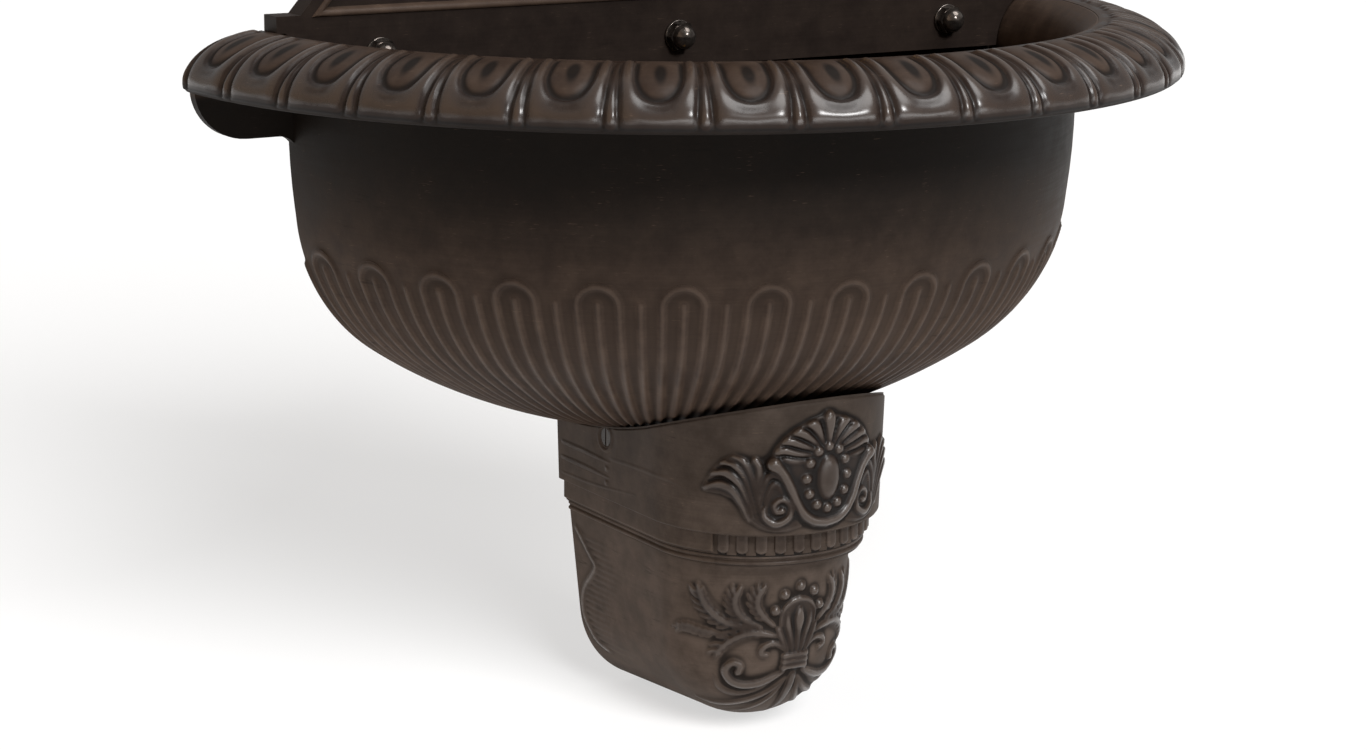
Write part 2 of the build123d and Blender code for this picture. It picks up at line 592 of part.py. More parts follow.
# Drain fitting, from the seat in the basin down to the pipe in the wall
FLANGE_LOW = DRAIN_SEAT + DRAIN_SEAL_T
FLANGE_TOP = FLANGE_LOW + DRAIN_FLANGE_T
with BuildPart() as drain_flange:
    with Locations((0, DRAIN_Y, FLANGE_LOW)):
        Cylinder(DRAIN_WELL_R - 1, DRAIN_FLANGE_T, align=UP)
    fillet(drain_flange.edges().group_by(Axis.Z)[-1], 1.5)
    with Locations((0, DRAIN_Y, DRAIN_TUBE_LOW)):
        Cylinder(DRAIN_TUBE_R, FLANGE_LOW - DRAIN_TUBE_LOW, align=UP)
        Cylinder(DRAIN_BORE_R, FLANGE_TOP - DRAIN_TUBE_LOW, align=UP, mode=Mode.SUBTRACT)
    with Locations((0, DRAIN_Y, DRAIN_BOSS_LOW)):
        Box(2 * DRAIN_BORE_R + 2, 3, 3)
        Box(3, 2 * DRAIN_BORE_R + 2, 3)
drain_flange.part.label = "drain_flange"
export_step(drain_flange.part, "parts/drain_flange.step")

with BuildPart() as drain_seal:
    with Locations((0, DRAIN_Y, DRAIN_SEAT)):
        Cylinder(DRAIN_WELL_R - 2, DRAIN_SEAL_T, align=UP)
        Cylinder(DRAIN_TUBE_R + SLIP_GAP, DRAIN_SEAL_T, align=UP, mode=Mode.SUBTRACT)
drain_seal.part.label = "drain_seal"
export_step(drain_seal.part, "parts/drain_seal.step")

with BuildPart() as drain_gasket:
    with Locations((0, DRAIN_Y, DRAIN_BOSS_LOW)):
        Cylinder(DRAIN_WELL_R - 2, DRAIN_GASKET_T, align=DOWN)
        Cylinder(DRAIN_TUBE_R + SLIP_GAP, DRAIN_GASKET_T, align=DOWN, mode=Mode.SUBTRACT)
drain_gasket.part.label = "drain_gasket"
export_step(drain_gasket.part, "parts/drain_gasket.step")

NUT_TOP = DRAIN_BOSS_LOW - DRAIN_GASKET_T
with BuildPart() as drain_locknut:
    with BuildSketch(Plane.XY.offset(NUT_TOP - DRAIN_NUT_H)):
        with Locations((0, DRAIN_Y)):
            RegularPolygon(DRAIN_NUT_FLATS / 2, 6, major_radius=False)
            Circle(DRAIN_TUBE_R + THREAD_GAP, mode=Mode.SUBTRACT)
    extrude(amount=DRAIN_NUT_H)
drain_locknut.part.label = "drain_locknut"
export_step(drain_locknut.part, "parts/drain_locknut.step")

PIPE_Z = DRAIN_TUBE_LOW - 4 - BEND_R
with BuildPart() as drain_elbow:
    with BuildLine(Plane.YZ) as run:
        Line((DRAIN_Y, DRAIN_TUBE_LOW), (DRAIN_Y, PIPE_Z + BEND_R))
        RadiusArc((DRAIN_Y, PIPE_Z + BEND_R), (DRAIN_Y + BEND_R, PIPE_Z), -BEND_R)
        Line((DRAIN_Y + BEND_R, PIPE_Z), (0, PIPE_Z))
    with BuildSketch(Plane(origin=(0, DRAIN_Y, DRAIN_TUBE_LOW), z_dir=(0, 0, -1))):
        Circle(PIPE_R)
    sweep(path=run.line)
    with Locations((0, DRAIN_Y, DRAIN_TUBE_LOW - 4)):
        Cylinder(SOCKET_R, SOCKET_TOP - DRAIN_TUBE_LOW + 4, align=UP)
    with BuildSketch(Plane(origin=(0, DRAIN_Y, DRAIN_TUBE_LOW), z_dir=(0, 0, -1))):
        Circle(DRAIN_BORE_R)
    sweep(path=run.line, mode=Mode.SUBTRACT)
    with Locations((0, DRAIN_Y, DRAIN_TUBE_LOW)):
        Cylinder(DRAIN_TUBE_R + THREAD_GAP, 30, align=UP, mode=Mode.SUBTRACT)
drain_elbow.part.label = "drain_elbow"
export_step(drain_elbow.part, "parts/drain_elbow.step")

with BuildPart() as drain_union_nut:
    with Locations((0, DRAIN_Y, SOCKET_TOP - 13)):
        Cylinder(UNION_R, 16, align=UP)
    chamfer(drain_union_nut.edges().group_by(Axis.Z)[-1], 1.5)
    with Locations((0, DRAIN_Y, SOCKET_TOP)):
        Cylinder(SOCKET_R + THREAD_GAP, 40, align=DOWN, mode=Mode.SUBTRACT)
        Cylinder(DRAIN_TUBE_R + THREAD_GAP, 40, mode=Mode.SUBTRACT)
    with PolarLocations(0, 1):
        with Locations((0, DRAIN_Y, SOCKET_TOP - 5)):
            with PolarLocations(UNION_R, 8):
                Cylinder(1.6, 16, mode=Mode.SUBTRACT)
drain_union_nut.part.label = "drain_union_nut"
export_step(drain_union_nut.part, "parts/drain_union_nut.step")

# Lift-out plug, resting on the flange by its disc
PLUG_R = DRAIN_BORE_R - LIFT_GAP
with BuildPart() as drain_plug:
    with Locations((0, DRAIN_Y, FLANGE_TOP)):
        Cylinder(PLUG_DISC_R, PLUG_DISC_T, align=UP)
        Cylinder(PLUG_R, 7, align=DOWN)
        Cylinder(2.6, PLUG_DISC_T + 9, align=UP)
    with Locations((0, DRAIN_Y, FLANGE_TOP + PLUG_DISC_T + 11)):
        Sphere(5)
    with Locations((0, DRAIN_Y, FLANGE_TOP - 3.5)):
        Cylinder(PLUG_R + 1, 2.4, mode=Mode.SUBTRACT)
        Cylinder(PLUG_R - 1.4, 2.4)
drain_plug.part.label = "drain_plug"
export_step(drain_plug.part, "parts/drain_plug.step")

with BuildPart() as drain_plug_ring:
    with Locations((0, DRAIN_Y, FLANGE_TOP - 3.5)):
        Torus(PLUG_R - 0.45, 0.7)
drain_plug_ring.part.label = "drain_plug_ring"
export_step(drain_plug_ring.part, "parts/drain_plug_ring.step")

# Tap body: threaded tail, barrel, valve column and spout in one casting
FIELD_Y = PLATE_DEPTH - FIELD_DEPTH
COLLAR_Y = FIELD_Y + ROSETTE_T
SPOUT_Z = TAP_Z + SPOUT_RISE
TAP_FACE = Plane(origin=(0, 0, TAP_Z), x_dir=(1, 0, 0), z_dir=(0, -1, 0))
TAP_COLUMN = Plane(origin=(0, -COLUMN_Y, TAP_Z), x_dir=(1, 0, 0), z_dir=(0, 0, 1))
with BuildPart() as tap_body:
    with Locations(TAP_FACE):
        with Locations((0, 0, 0.5)):
            Cylinder(TAIL_R, COLLAR_Y, align=UP)
        with Locations((0, 0, COLLAR_Y)):
            Cylinder(BARREL_R, COLUMN_Y - COLLAR_Y, align=UP)
    with BuildSketch(TAP_FACE.offset(COLLAR_Y)):
        RegularPolygon(COLLAR_FLATS / 2, 6, major_radius=False)
    extrude(amount=COLLAR_T)
    with Locations(TAP_COLUMN):
        Sphere(COLUMN_R)
        Cylinder(COLUMN_R, COLUMN_TOP, align=UP)
    with BuildLine(Plane.YZ) as spout:
        Line((-COLUMN_Y, SPOUT_Z), (SPOUT_BEND - SPOUT_REACH, SPOUT_Z))
        RadiusArc((SPOUT_BEND - SPOUT_REACH, SPOUT_Z), (-SPOUT_REACH, SPOUT_Z - SPOUT_BEND), -SPOUT_BEND)
        Line((-SPOUT_REACH, SPOUT_Z - SPOUT_BEND), (-SPOUT_REACH, TAP_Z - SPOUT_DROP))
    with BuildSketch(Plane(origin=(0, -COLUMN_Y, SPOUT_Z), z_dir=(0, -1, 0))):
        Circle(SPOUT_R)
    sweep(path=spout.line)
    with BuildSketch(Plane(origin=(0, -COLUMN_Y, SPOUT_Z), z_dir=(0, -1, 0))):
        Circle(WATERWAY_R)
    sweep(path=spout.line, mode=Mode.SUBTRACT)
    with Locations(TAP_FACE):
        Cylinder(WATERWAY_R, COLUMN_Y, align=UP, mode=Mode.SUBTRACT)
    with Locations(TAP_COLUMN):
        Cylinder(CHAMBER_R - 2, DISC_SEAT, align=UP, mode=Mode.SUBTRACT)
        with Locations((0, 0, DISC_SEAT)):
            Cylinder(CHAMBER_R, COLUMN_TOP, align=UP, mode=Mode.SUBTRACT)
tap_body.part.label = "tap_body"
export_step(tap_body.part, "parts/tap_body.step")

with BuildPart() as tap_rosette:
    with Locations(TAP_FACE):
        with Locations((0, 0, FIELD_Y)):
            Cylinder(ROSETTE_R, 3, align=UP)
            Cone(ROSETTE_R - 5, COLLAR_FLATS / 2, ROSETTE_T, align=UP)
            Cylinder(TAIL_R + SLIP_GAP, 2 * ROSETTE_T, align=UP, mode=Mode.SUBTRACT)
tap_rosette.part.label = "tap_rosette"
export_step(tap_rosette.part, "parts/tap_rosette.step")

# Fibre washer and lock nut that pull the tap against the land behind the plate
LAND_Y = FIELD_Y - FIELD_SKIN
with BuildPart() as tap_fibre_washer:
    with Locations(TAP_FACE):
        with Locations((0, 0, LAND_Y)):
            Cylinder(LAND_X - 13, 1, align=DOWN)
            Cylinder(TAIL_R + SLIP_GAP, 1, align=DOWN, mode=Mode.SUBTRACT)
tap_fibre_washer.part.label = "tap_fibre_washer"
export_step(tap_fibre_washer.part, "parts/tap_fibre_washer.step")

with BuildPart() as tap_locknut:
    with BuildSketch(TAP_FACE.offset(0.5)):
        RegularPolygon(15, 6, major_radius=False)
        Circle(TAIL_R + THREAD_GAP, mode=Mode.SUBTRACT)
    extrude(amount=LAND_Y - 1 - 0.5)
tap_locknut.part.label = "tap_locknut"
export_step(tap_locknut.part, "parts/tap_locknut.step")

with BuildPart() as tap_nozzle:
    with Locations((0, -SPOUT_REACH, TAP_Z - SPOUT_DROP)):
        Cylinder(SPOUT_R + 2, 14)
    chamfer(tap_nozzle.edges().group_by(Axis.Z)[0], 1)
    fillet(tap_nozzle.edges().group_by(Axis.Z)[-1], 1)
    with Locations((0, -SPOUT_REACH, TAP_Z - SPOUT_DROP)):
        Cylinder(SPOUT_R + THREAD_GAP, 20, align=UP, mode=Mode.SUBTRACT)
        Cylinder(WATERWAY_R, 20, mode=Mode.SUBTRACT)
tap_nozzle.part.label = "tap_nozzle"
export_step(tap_nozzle.part, "parts/tap_nozzle.step")

# Headwork: a pair of ceramic discs, turned a quarter by the spindle in the bonnet
with BuildPart() as tap_fixed_disc:
    with Locations(TAP_COLUMN):
        with Locations((0, 0, DISC_SEAT)):
            Cylinder(CHAMBER_R - THREAD_GAP, DISC_T, align=UP)
        with Locations((-DISC_PORT_X, 0, DISC_SEAT), (DISC_PORT_X, 0, DISC_SEAT)):
            Cylinder(DISC_PORT_R, DISC_T, align=UP, mode=Mode.SUBTRACT)
tap_fixed_disc.part.label = "tap_fixed_disc"
export_step(tap_fixed_disc.part, "parts/tap_fixed_disc.step")

TURN_LOW = DISC_SEAT + DISC_T + RUN_GAP
with BuildPart() as tap_turning_disc:
    with Locations(TAP_COLUMN):
        with Locations((0, 0, TURN_LOW)):
            Cylinder(CHAMBER_R - LIFT_GAP, DISC_T, align=UP)
        with Locations((0, -DISC_PORT_X, TURN_LOW), (0, DISC_PORT_X, TURN_LOW)):
            Cylinder(DISC_PORT_R, DISC_T, align=UP, mode=Mode.SUBTRACT)
tap_turning_disc.part.label = "tap_turning_disc"
export_step(tap_turning_disc.part, "parts/tap_turning_disc.step")

BONNET_LOW = COLUMN_TOP - BONNET_IN
BONNET_FLANGE = COLUMN_TOP + BONNET_SEAL_T
with BuildPart() as tap_bonnet:
    with Locations(TAP_COLUMN):
        with Locations((0, 0, BONNET_LOW)):
            Cylinder(CHAMBER_R - THREAD_GAP, BONNET_FLANGE - BONNET_LOW, align=UP)
        with Locations((0, 0, BONNET_FLANGE)):
            Cylinder(7, 16, align=UP)
    with BuildSketch(TAP_COLUMN.offset(BONNET_FLANGE)):
        RegularPolygon(BONNET_FLATS / 2, 6, major_radius=False)
    extrude(amount=7)
    with Locations(TAP_COLUMN):
        Cylinder(SPINDLE_R + RUN_GAP, 80, align=UP, mode=Mode.SUBTRACT)
tap_bonnet.part.label = "tap_bonnet"
export_step(tap_bonnet.part, "parts/tap_bonnet.step")

with BuildPart() as tap_bonnet_seal:
    with Locations(TAP_COLUMN):
        with Locations((0, 0, COLUMN_TOP)):
            Cylinder(COLUMN_R - 1.5, BONNET_SEAL_T, align=UP)
            Cylinder(CHAMBER_R + THREAD_GAP, BONNET_SEAL_T, align=UP, mode=Mode.SUBTRACT)
tap_bonnet_seal.part.label = "tap_bonnet_seal"
export_step(tap_bonnet_seal.part, "parts/tap_bonnet_seal.step")

GLAND_TOP = BONNET_FLANGE + 19
with BuildPart() as tap_gland_nut:
    with Locations(TAP_COLUMN):
        with Locations((0, 0, BONNET_FLANGE + 8)):
            Cylinder(9.5, GLAND_TOP - BONNET_FLANGE - 8, align=UP)
    fillet(tap_gland_nut.edges().group_by(Axis.Z)[-1], 1.5)
    with Locations(TAP_COLUMN):
        Cylinder(SPINDLE_R + LIFT_GAP, 90, align=UP, mode=Mode.SUBTRACT)
        with Locations((0, 0, BONNET_FLANGE + 16)):
            Cylinder(7 + THREAD_GAP, 30, align=DOWN, mode=Mode.SUBTRACT)
tap_gland_nut.part.label = "tap_gland_nut"
export_step(tap_gland_nut.part, "parts/tap_gland_nut.step")

SPINDLE_LOW = TURN_LOW + DISC_T
HUB_LOW = GLAND_TOP + 0.5
HUB_TOP = HUB_LOW + HANDLE_HUB_H
HUB_ROOF = 2.0        # of the handle above the spindle
with BuildPart() as tap_spindle:
    with Locations(TAP_COLUMN):
        with Locations((0, 0, SPINDLE_LOW)):
            Cylinder(CHAMBER_R - 1.2, 2, align=UP)
            Cylinder(SPINDLE_R, HUB_TOP - HUB_ROOF - SPINDLE_LOW, align=UP)
        with Locations((0, 0, BONNET_LOW - 0.3)):
            Cylinder(SPINDLE_R + 2, 2.5, align=DOWN)
        with Locations((0, 0, HUB_TOP - HUB_ROOF)):
            Cylinder(HANDLE_SCREW_R + THREAD_GAP, HANDLE_SCREW, align=DOWN, mode=Mode.SUBTRACT)
tap_spindle.part.label = "tap_spindle"
export_step(tap_spindle.part, "parts/tap_spindle.step")

with BuildPart() as tap_handle:
    with Locations(TAP_COLUMN):
        with Locations((0, 0, HUB_LOW)):
            Cylinder(HANDLE_HUB_R, HANDLE_HUB_H, align=UP)
    fillet(tap_handle.edges().group_by(Axis.Z)[-1], HANDLE_EDGE)
    with Locations(TAP_COLUMN.offset((HUB_LOW + HUB_TOP) / 2)):
        Cylinder(HANDLE_ARM_R, 2 * HANDLE_ARM, rotation=(90, 0, 0))
        Cylinder(HANDLE_ARM_R, 2 * HANDLE_ARM, rotation=(0, 90, 0))
        with PolarLocations(HANDLE_ARM, 4):
            Sphere(HANDLE_BALL_R)
    with Locations(TAP_COLUMN.offset(HUB_LOW)):
        Cylinder(SPINDLE_R + RUN_GAP, HANDLE_HUB_H - HUB_ROOF, align=UP, mode=Mode.SUBTRACT)
        Cylinder(HANDLE_SCREW_R + SLIP_GAP, HANDLE_HUB_H + 1, align=UP, mode=Mode.SUBTRACT)
tap_handle.part.label = "tap_handle"
export_step(tap_handle.part, "parts/tap_handle.step")

with BuildPart() as tap_handle_cap:
    with Locations(TAP_COLUMN.offset(HUB_TOP)):
        Cylinder(HANDLE_CAP_R, HANDLE_CAP_H, align=UP)
    fillet(tap_handle_cap.edges().group_by(Axis.Z)[-1], HANDLE_CAP_H - 1)
    with Locations(TAP_COLUMN.offset(HUB_TOP)):
        Cylinder(HANDLE_SCREW_R, HANDLE_SCREW, align=DOWN)
tap_handle_cap.part.label = "tap_handle_cap"
export_step(tap_handle_cap.part, "parts/tap_handle_cap.step")
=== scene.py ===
"""Looks of the wall fountain: cast basin, carved corbel, back plate, tap and drain, in a white studio."""
import math

import bpy
import numpy as np
from mathutils import Matrix, Vector


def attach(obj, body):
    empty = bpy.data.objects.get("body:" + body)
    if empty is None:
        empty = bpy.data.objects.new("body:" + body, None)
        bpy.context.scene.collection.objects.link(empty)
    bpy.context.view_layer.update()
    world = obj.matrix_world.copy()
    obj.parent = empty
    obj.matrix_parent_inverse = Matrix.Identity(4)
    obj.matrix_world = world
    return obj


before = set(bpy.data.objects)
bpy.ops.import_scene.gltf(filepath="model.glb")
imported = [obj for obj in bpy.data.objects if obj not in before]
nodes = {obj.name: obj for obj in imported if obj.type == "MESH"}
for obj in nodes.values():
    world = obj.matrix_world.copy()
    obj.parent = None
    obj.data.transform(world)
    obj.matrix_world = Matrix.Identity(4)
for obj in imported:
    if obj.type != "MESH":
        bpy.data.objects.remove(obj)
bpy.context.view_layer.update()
MM = 0.001
FAR = 99.0
WALL_CLEAR, CAST_ROOT = 0.15, 2.5
SEAM_REACH, SMOOTH_TO = 1e-7, math.radians(50)

# Bowl section, millimetres, from the axis outwards
BOTTOM_R, BOTTOM_TURN = 290.0, math.radians(34.7)
SHOULDER_R, SIDE_TURN = 93.0, math.radians(80.9)
SIDE_R = 330.0
BOWL_DEPTH = 208.52
CREST_R, LIP_DROP, LIP_REACH = 221.03, 24.0, 39.0

# Corbel
FRIEZE_LOW, FRIEZE_CENTRE = -237.02, 93.0
FRIEZE_X, FRIEZE_LOW_X, FRIEZE_TOP = 62.4, 60.0, -160.02
FRIEZE_LAP, FRIEZE_OUT, FRIEZE_TALL = 0.3, 0.7, 74
SCRIBE_R, SCRIBE_GAP = BOTTOM_R + 40, 0.9
COURSE_LOW, COURSE_X, COURSE_CENTRE = -248.52, 56.2, 90.0
FILLET_LOW, FILLET_X = -254.02, 54.2
FOOT_BOTTOM, FOOT_R, FOOT_DRAFT, FOOT_CENTRE = -351.02, 48.0, math.radians(6.4), 82.0
FOOT_LAST_TURN, FOOT_OUT, KEEL_RISE = math.radians(82), 0.3, 5.0
SCREW_RUN, SCREW_Z = 140.8, -205.02
FLOOR_Z = FOOT_BOTTOM - 0.3


class Wire:
    """One output socket of a finish; arithmetic on it adds Math nodes."""

    def __init__(self, finish, socket):
        self.finish = finish
        self.socket = socket

    def math(self, operation, first, second):
        return self.finish.node("Math", {"operation": operation}, {0: first, 1: second})

    def __add__(self, other):
        return self.math("ADD", self, other)

    def __radd__(self, other):
        return self.math("ADD", other, self)

    def __sub__(self, other):
        return self.math("SUBTRACT", self, other)

    def __rsub__(self, other):
        return self.math("SUBTRACT", other, self)

    def __mul__(self, other):
        return self.math("MULTIPLY", self, other)

    def __rmul__(self, other):
        return self.math("MULTIPLY", other, self)

    def between(self, low, high):
        """0 at low, 1 at high, eased and held outside."""
        settings = {"interpolation_type": "SMOOTHSTEP"}
        return self.finish.node("MapRange", settings, {"Value": self, "From Min": low, "From Max": high})

    def held(self):
        return self.finish.node("Clamp", {}, {"Value": self})


class Finish:
    """A node tree being mixed: a material's, or the studio world's."""

    def __init__(self, owner):
        owner.use_nodes = True
        self.owner = owner
        self.tree = owner.node_tree

    @classmethod
    def named(cls, name):
        return cls(bpy.data.materials.new(name))

    def put(self, socket, value):
        if isinstance(value, Wire):
            self.tree.links.new(value.socket, socket)
        else:
            socket.default_value = value

    def node(self, kind, settings, sockets, out=0):
        made = self.tree.nodes.new("ShaderNode" + kind)
        for key, value in settings.items():
            setattr(made, key, value)
        for key, value in sockets.items():
            self.put(made.inputs[key], value)
        return None if out is None else Wire(self, made.outputs[out])

    def place(self):
        return self.node("TexCoord", {}, {}, "Object")

    def stored(self, name):
        """A value kept on the mesh: wearing and painted light, below zero in hollows and painted shade, above
        it on crests and painted highlights; or relief, 1 on ornament.
        """
        return self.node("Attribute", {"attribute_name": name}, {}, "Fac")

    def height(self):
        return self.node("SeparateXYZ", {}, {0: self.place()}, "Z")

    def noise(self, where, scale, detail=4.0, rough=0.55):
        sockets = {"Vector": where, "Scale": scale, "Detail": detail, "Roughness": rough}
        return self.node("TexNoise", {}, sockets)

    def stretched(self, where, size):
        return self.node("Mapping", {}, {"Vector": where, "Scale": size})

    def blend(self, share, first, second):
        return self.node("Mix", {"data_type": "RGBA"}, {0: share, 6: first, 7: second}, 2)

    def bump(self, height, strength, depth, under=None):
        sockets = {"Height": height, "Strength": strength, "Distance": depth}
        if under is not None:
            sockets["Normal"] = under
        return self.node("Bump", {}, sockets)

    def coat(self, **sockets):
        names = {
            "colour": "Base Color", "rough": "Roughness", "metal": "Metallic", "normal": "Normal",
            "coat": "Coat Weight", "coat_rough": "Coat Roughness", "specular": "Specular IOR Level",
            "glow": "Emission Color", "glow_strength": "Emission Strength",
        }
        for key, value in sockets.items():
            self.put(self.tree.nodes["Principled BSDF"].inputs[names[key]], value)
        return self.owner


def rgb(red, green, blue):
    """A colour as read off a screen, 0 to 255, made linear."""
    parts = [c / 255 for c in (red, green, blue)]
    return (*[p / 12.92 if p <= 0.04045 else ((p + 0.055) / 1.055) ** 2.4 for p in parts], 1.0)


def patina_finish(name, dark, middle, rubbed_and_highlight, streaks, painted_shade, shade_low, shade_high):
    """Brown patina on a casting: sooty in hollows, darker and glossy on ornament; painted shade under
    overhangs, and painted light on edges marked on the mesh.
    """
    finish = Finish.named(name)
    where = finish.place()
    painted_light_and_wear = finish.stored("wear_and_painted_light")
    relief = finish.stored("relief")
    height = finish.height()
    cloud = finish.noise(where, 11.0, 5.0, 0.6)
    mottle = finish.noise(where, 70.0, 5.0, 0.65)
    grain = finish.noise(where, 900.0, 3.0, 0.6)
    brush = finish.noise(finish.stretched(where, (22.0, 22.0, 900.0)), 1.0, 4.0, 0.6)
    sweep = finish.noise(finish.stretched(where, (30.0, 30.0, 260.0)), 1.0, 6.0, 0.7)
    scratch = finish.noise(finish.stretched(where, (160.0, 160.0, 2600.0)), 1.0, 2.0, 0.5)
    tone = (cloud * 0.4 + mottle * 0.6 + (brush - 0.5) * streaks).between(0.3, 0.72)
    base = finish.blend(tone, dark, middle)
    smudge = sweep.between(0.58, 0.72) * cloud.between(0.46, 0.6)
    base = finish.blend(smudge * 0.6, base, rgb(30, 25, 22))
    # Painted shade: darker towards the top of the bowl, under the rim, and towards the top of the corbel,
    # under the bowl; none on the rim itself.
    painted_overhang_shade = height.between(shade_low, shade_high) * (1.0 - height.between(-0.030, -0.024))
    base = finish.blend(painted_overhang_shade * painted_shade, base, rgb(16, 14, 12))
    base = finish.blend((relief * 0.85).held(), base, rgb(34, 24, 19))
    # Lighter on crests: real wearing, and painted highlights where the mesh marks them.
    crest = (painted_light_and_wear + (mottle - 0.5) * 0.5).between(0.15, 1.0)
    base = finish.blend(crest * 0.14, base, rubbed_and_highlight)
    fine = scratch.between(0.66, 0.75) * mottle.between(0.5, 0.62)
    base = finish.blend(fine * 0.35, base, rubbed_and_highlight)
    # Dark patina in hollows; the same darkening paints shade where the mesh marks it.
    hollow = ((mottle - 0.5) * 0.6 - painted_light_and_wear).between(0.05, 0.8)
    soot_and_shade = finish.blend(hollow * 0.85, base, rgb(14, 11, 10))
    rough = 0.52 + (mottle - 0.5) * 0.22 + hollow * 0.15 - relief * 0.12 + (brush - 0.5) * 0.16
    normal = finish.bump(mottle, 0.10, 0.0012)
    normal = finish.bump(brush, 0.10 * streaks + 0.02, 0.0006, normal)
    normal = finish.bump(grain, 0.10, 0.0004, normal)
    polish = relief * (0.2 + crest * 0.9 + (mottle - 0.5) * 0.4)
    return finish.coat(
        colour=soot_and_shade, rough=rough.held(), normal=normal, specular=0.08, coat=polish.held(), coat_rough=0.26
    )


def turned_metal(name, dark, bright, rough, metal):
    """Machined or cast fitting, tarnished in patches."""
    finish = Finish.named(name)
    where = finish.place()
    cloud = finish.noise(where, 60.0, 5.0, 0.6)
    speck = finish.noise(where, 420.0, 4.0, 0.6)
    ring = finish.noise(finish.stretched(where, (90.0, 90.0, 1500.0)), 1.0, 3.0, 0.5)
    tone = (cloud * 0.6 + speck * 0.4).between(0.36, 0.64)
    colour = finish.blend(tone, dark, bright)
    gloss = rough + (speck - 0.5) * 0.2 + (ring - 0.5) * 0.14
    normal = finish.bump(speck, 0.08, 0.0004)
    normal = finish.bump(ring, 0.06, 0.0003, normal)
    return finish.coat(colour=colour, rough=gloss.held(), metal=metal, normal=normal)


def moulded(name, dark, light, rough, scale):
    """Rubber, fibre, ceramic or plastic: one matter with a fine grain."""
    finish = Finish.named(name)
    where = finish.place()
    grain = finish.noise(where, scale, 4.0, 0.6)
    cloud = finish.noise(where, 45.0, 4.0, 0.55)
    colour = finish.blend((grain * 0.5 + cloud * 0.5).between(0.35, 0.65), dark, light)
    gloss = rough + (grain - 0.5) * 0.2
    normal = finish.bump(grain, 0.12, 0.0003)
    return finish.coat(colour=colour, rough=gloss.held(), normal=normal)


# The last three numbers set the painted shade: its strength and the heights it runs between.
bronze_patina = patina_finish(
    "bronze_patina", rgb(60, 48, 41), rgb(87, 72, 62), rgb(126, 104, 88), 0.16, 0.92, -0.145, -0.045
)
plate_patina = patina_finish(
    "plate_patina", rgb(36, 29, 26), rgb(50, 41, 36), rgb(118, 98, 84), 0.14, 0.0, -0.155, -0.045
)
corbel_patina = patina_finish(
    "corbel_patina", rgb(65, 55, 48), rgb(94, 82, 74), rgb(132, 111, 94), 0.14, 0.4, -0.29, -0.18
)
cap_nut_metal = turned_metal("cap_nut_metal", rgb(62, 56, 52), rgb(118, 110, 104), 0.16, 0.8)
screw_black = turned_metal("screw_black", rgb(34, 30, 28), rgb(62, 56, 52), 0.3, 0.6)
tap_brass = turned_metal("tap_brass", rgb(92, 66, 34), rgb(170, 132, 72), 0.28, 1.0)
bracket_steel = turned_metal("bracket_steel", rgb(120, 122, 124), rgb(168, 170, 172), 0.34, 1.0)
black_rubber = moulded("black_rubber", rgb(24, 24, 24), rgb(42, 42, 42), 0.7, 700.0)
red_fibre = moulded("red_fibre", rgb(110, 42, 30), rgb(140, 62, 44), 0.75, 900.0)
white_ceramic = moulded("white_ceramic", rgb(214, 212, 204), rgb(236, 234, 228), 0.2, 500.0)
waste_plastic = moulded("waste_plastic", rgb(96, 96, 99), rgb(118, 118, 121), 0.4, 300.0)

NODE_FINISH = {
    "basin": bronze_patina,
    "back_plate": plate_patina,
    "console": corbel_patina,
    "plate_washers": cap_nut_metal,
    "plate_cap_nuts": cap_nut_metal,
    "console_screws": screw_black,
    "plate_bolts": bracket_steel,
    "console_bracket": bracket_steel,
    "plate_seals": black_rubber,
    "drain_seal": black_rubber,
    "drain_gasket": black_rubber,
    "drain_plug_ring": black_rubber,
    "tap_bonnet_seal": black_rubber,
    "tap_fibre_washer": red_fibre,
    "tap_fixed_disc": white_ceramic,
    "tap_turning_disc": white_ceramic,
    "drain_elbow": waste_plastic,
    "drain_union_nut": waste_plastic,
}


def dress(piece, material):
    piece.data.materials.clear()
    piece.data.materials.append(material)


for node_name, node in nodes.items():
    dress(node, NODE_FINISH.get(node_name, tap_brass))


def soften(height, reach):
    """A field of heights blurred over so many steps each way."""
    taps = np.exp(-0.5 * (np.arange(-3 * reach, 3 * reach + 1) / reach) ** 2)
    taps /= taps.sum()
    for axis in (0, 1):
        pads = [(0, 0), (0, 0)]
        pads[axis] = (3 * reach, 3 * reach)
        wide = np.pad(height, pads, mode="edge")
        height = sum(k * np.take(wide, range(i, i + height.shape[axis]), axis) for i, k in enumerate(taps))
    return height


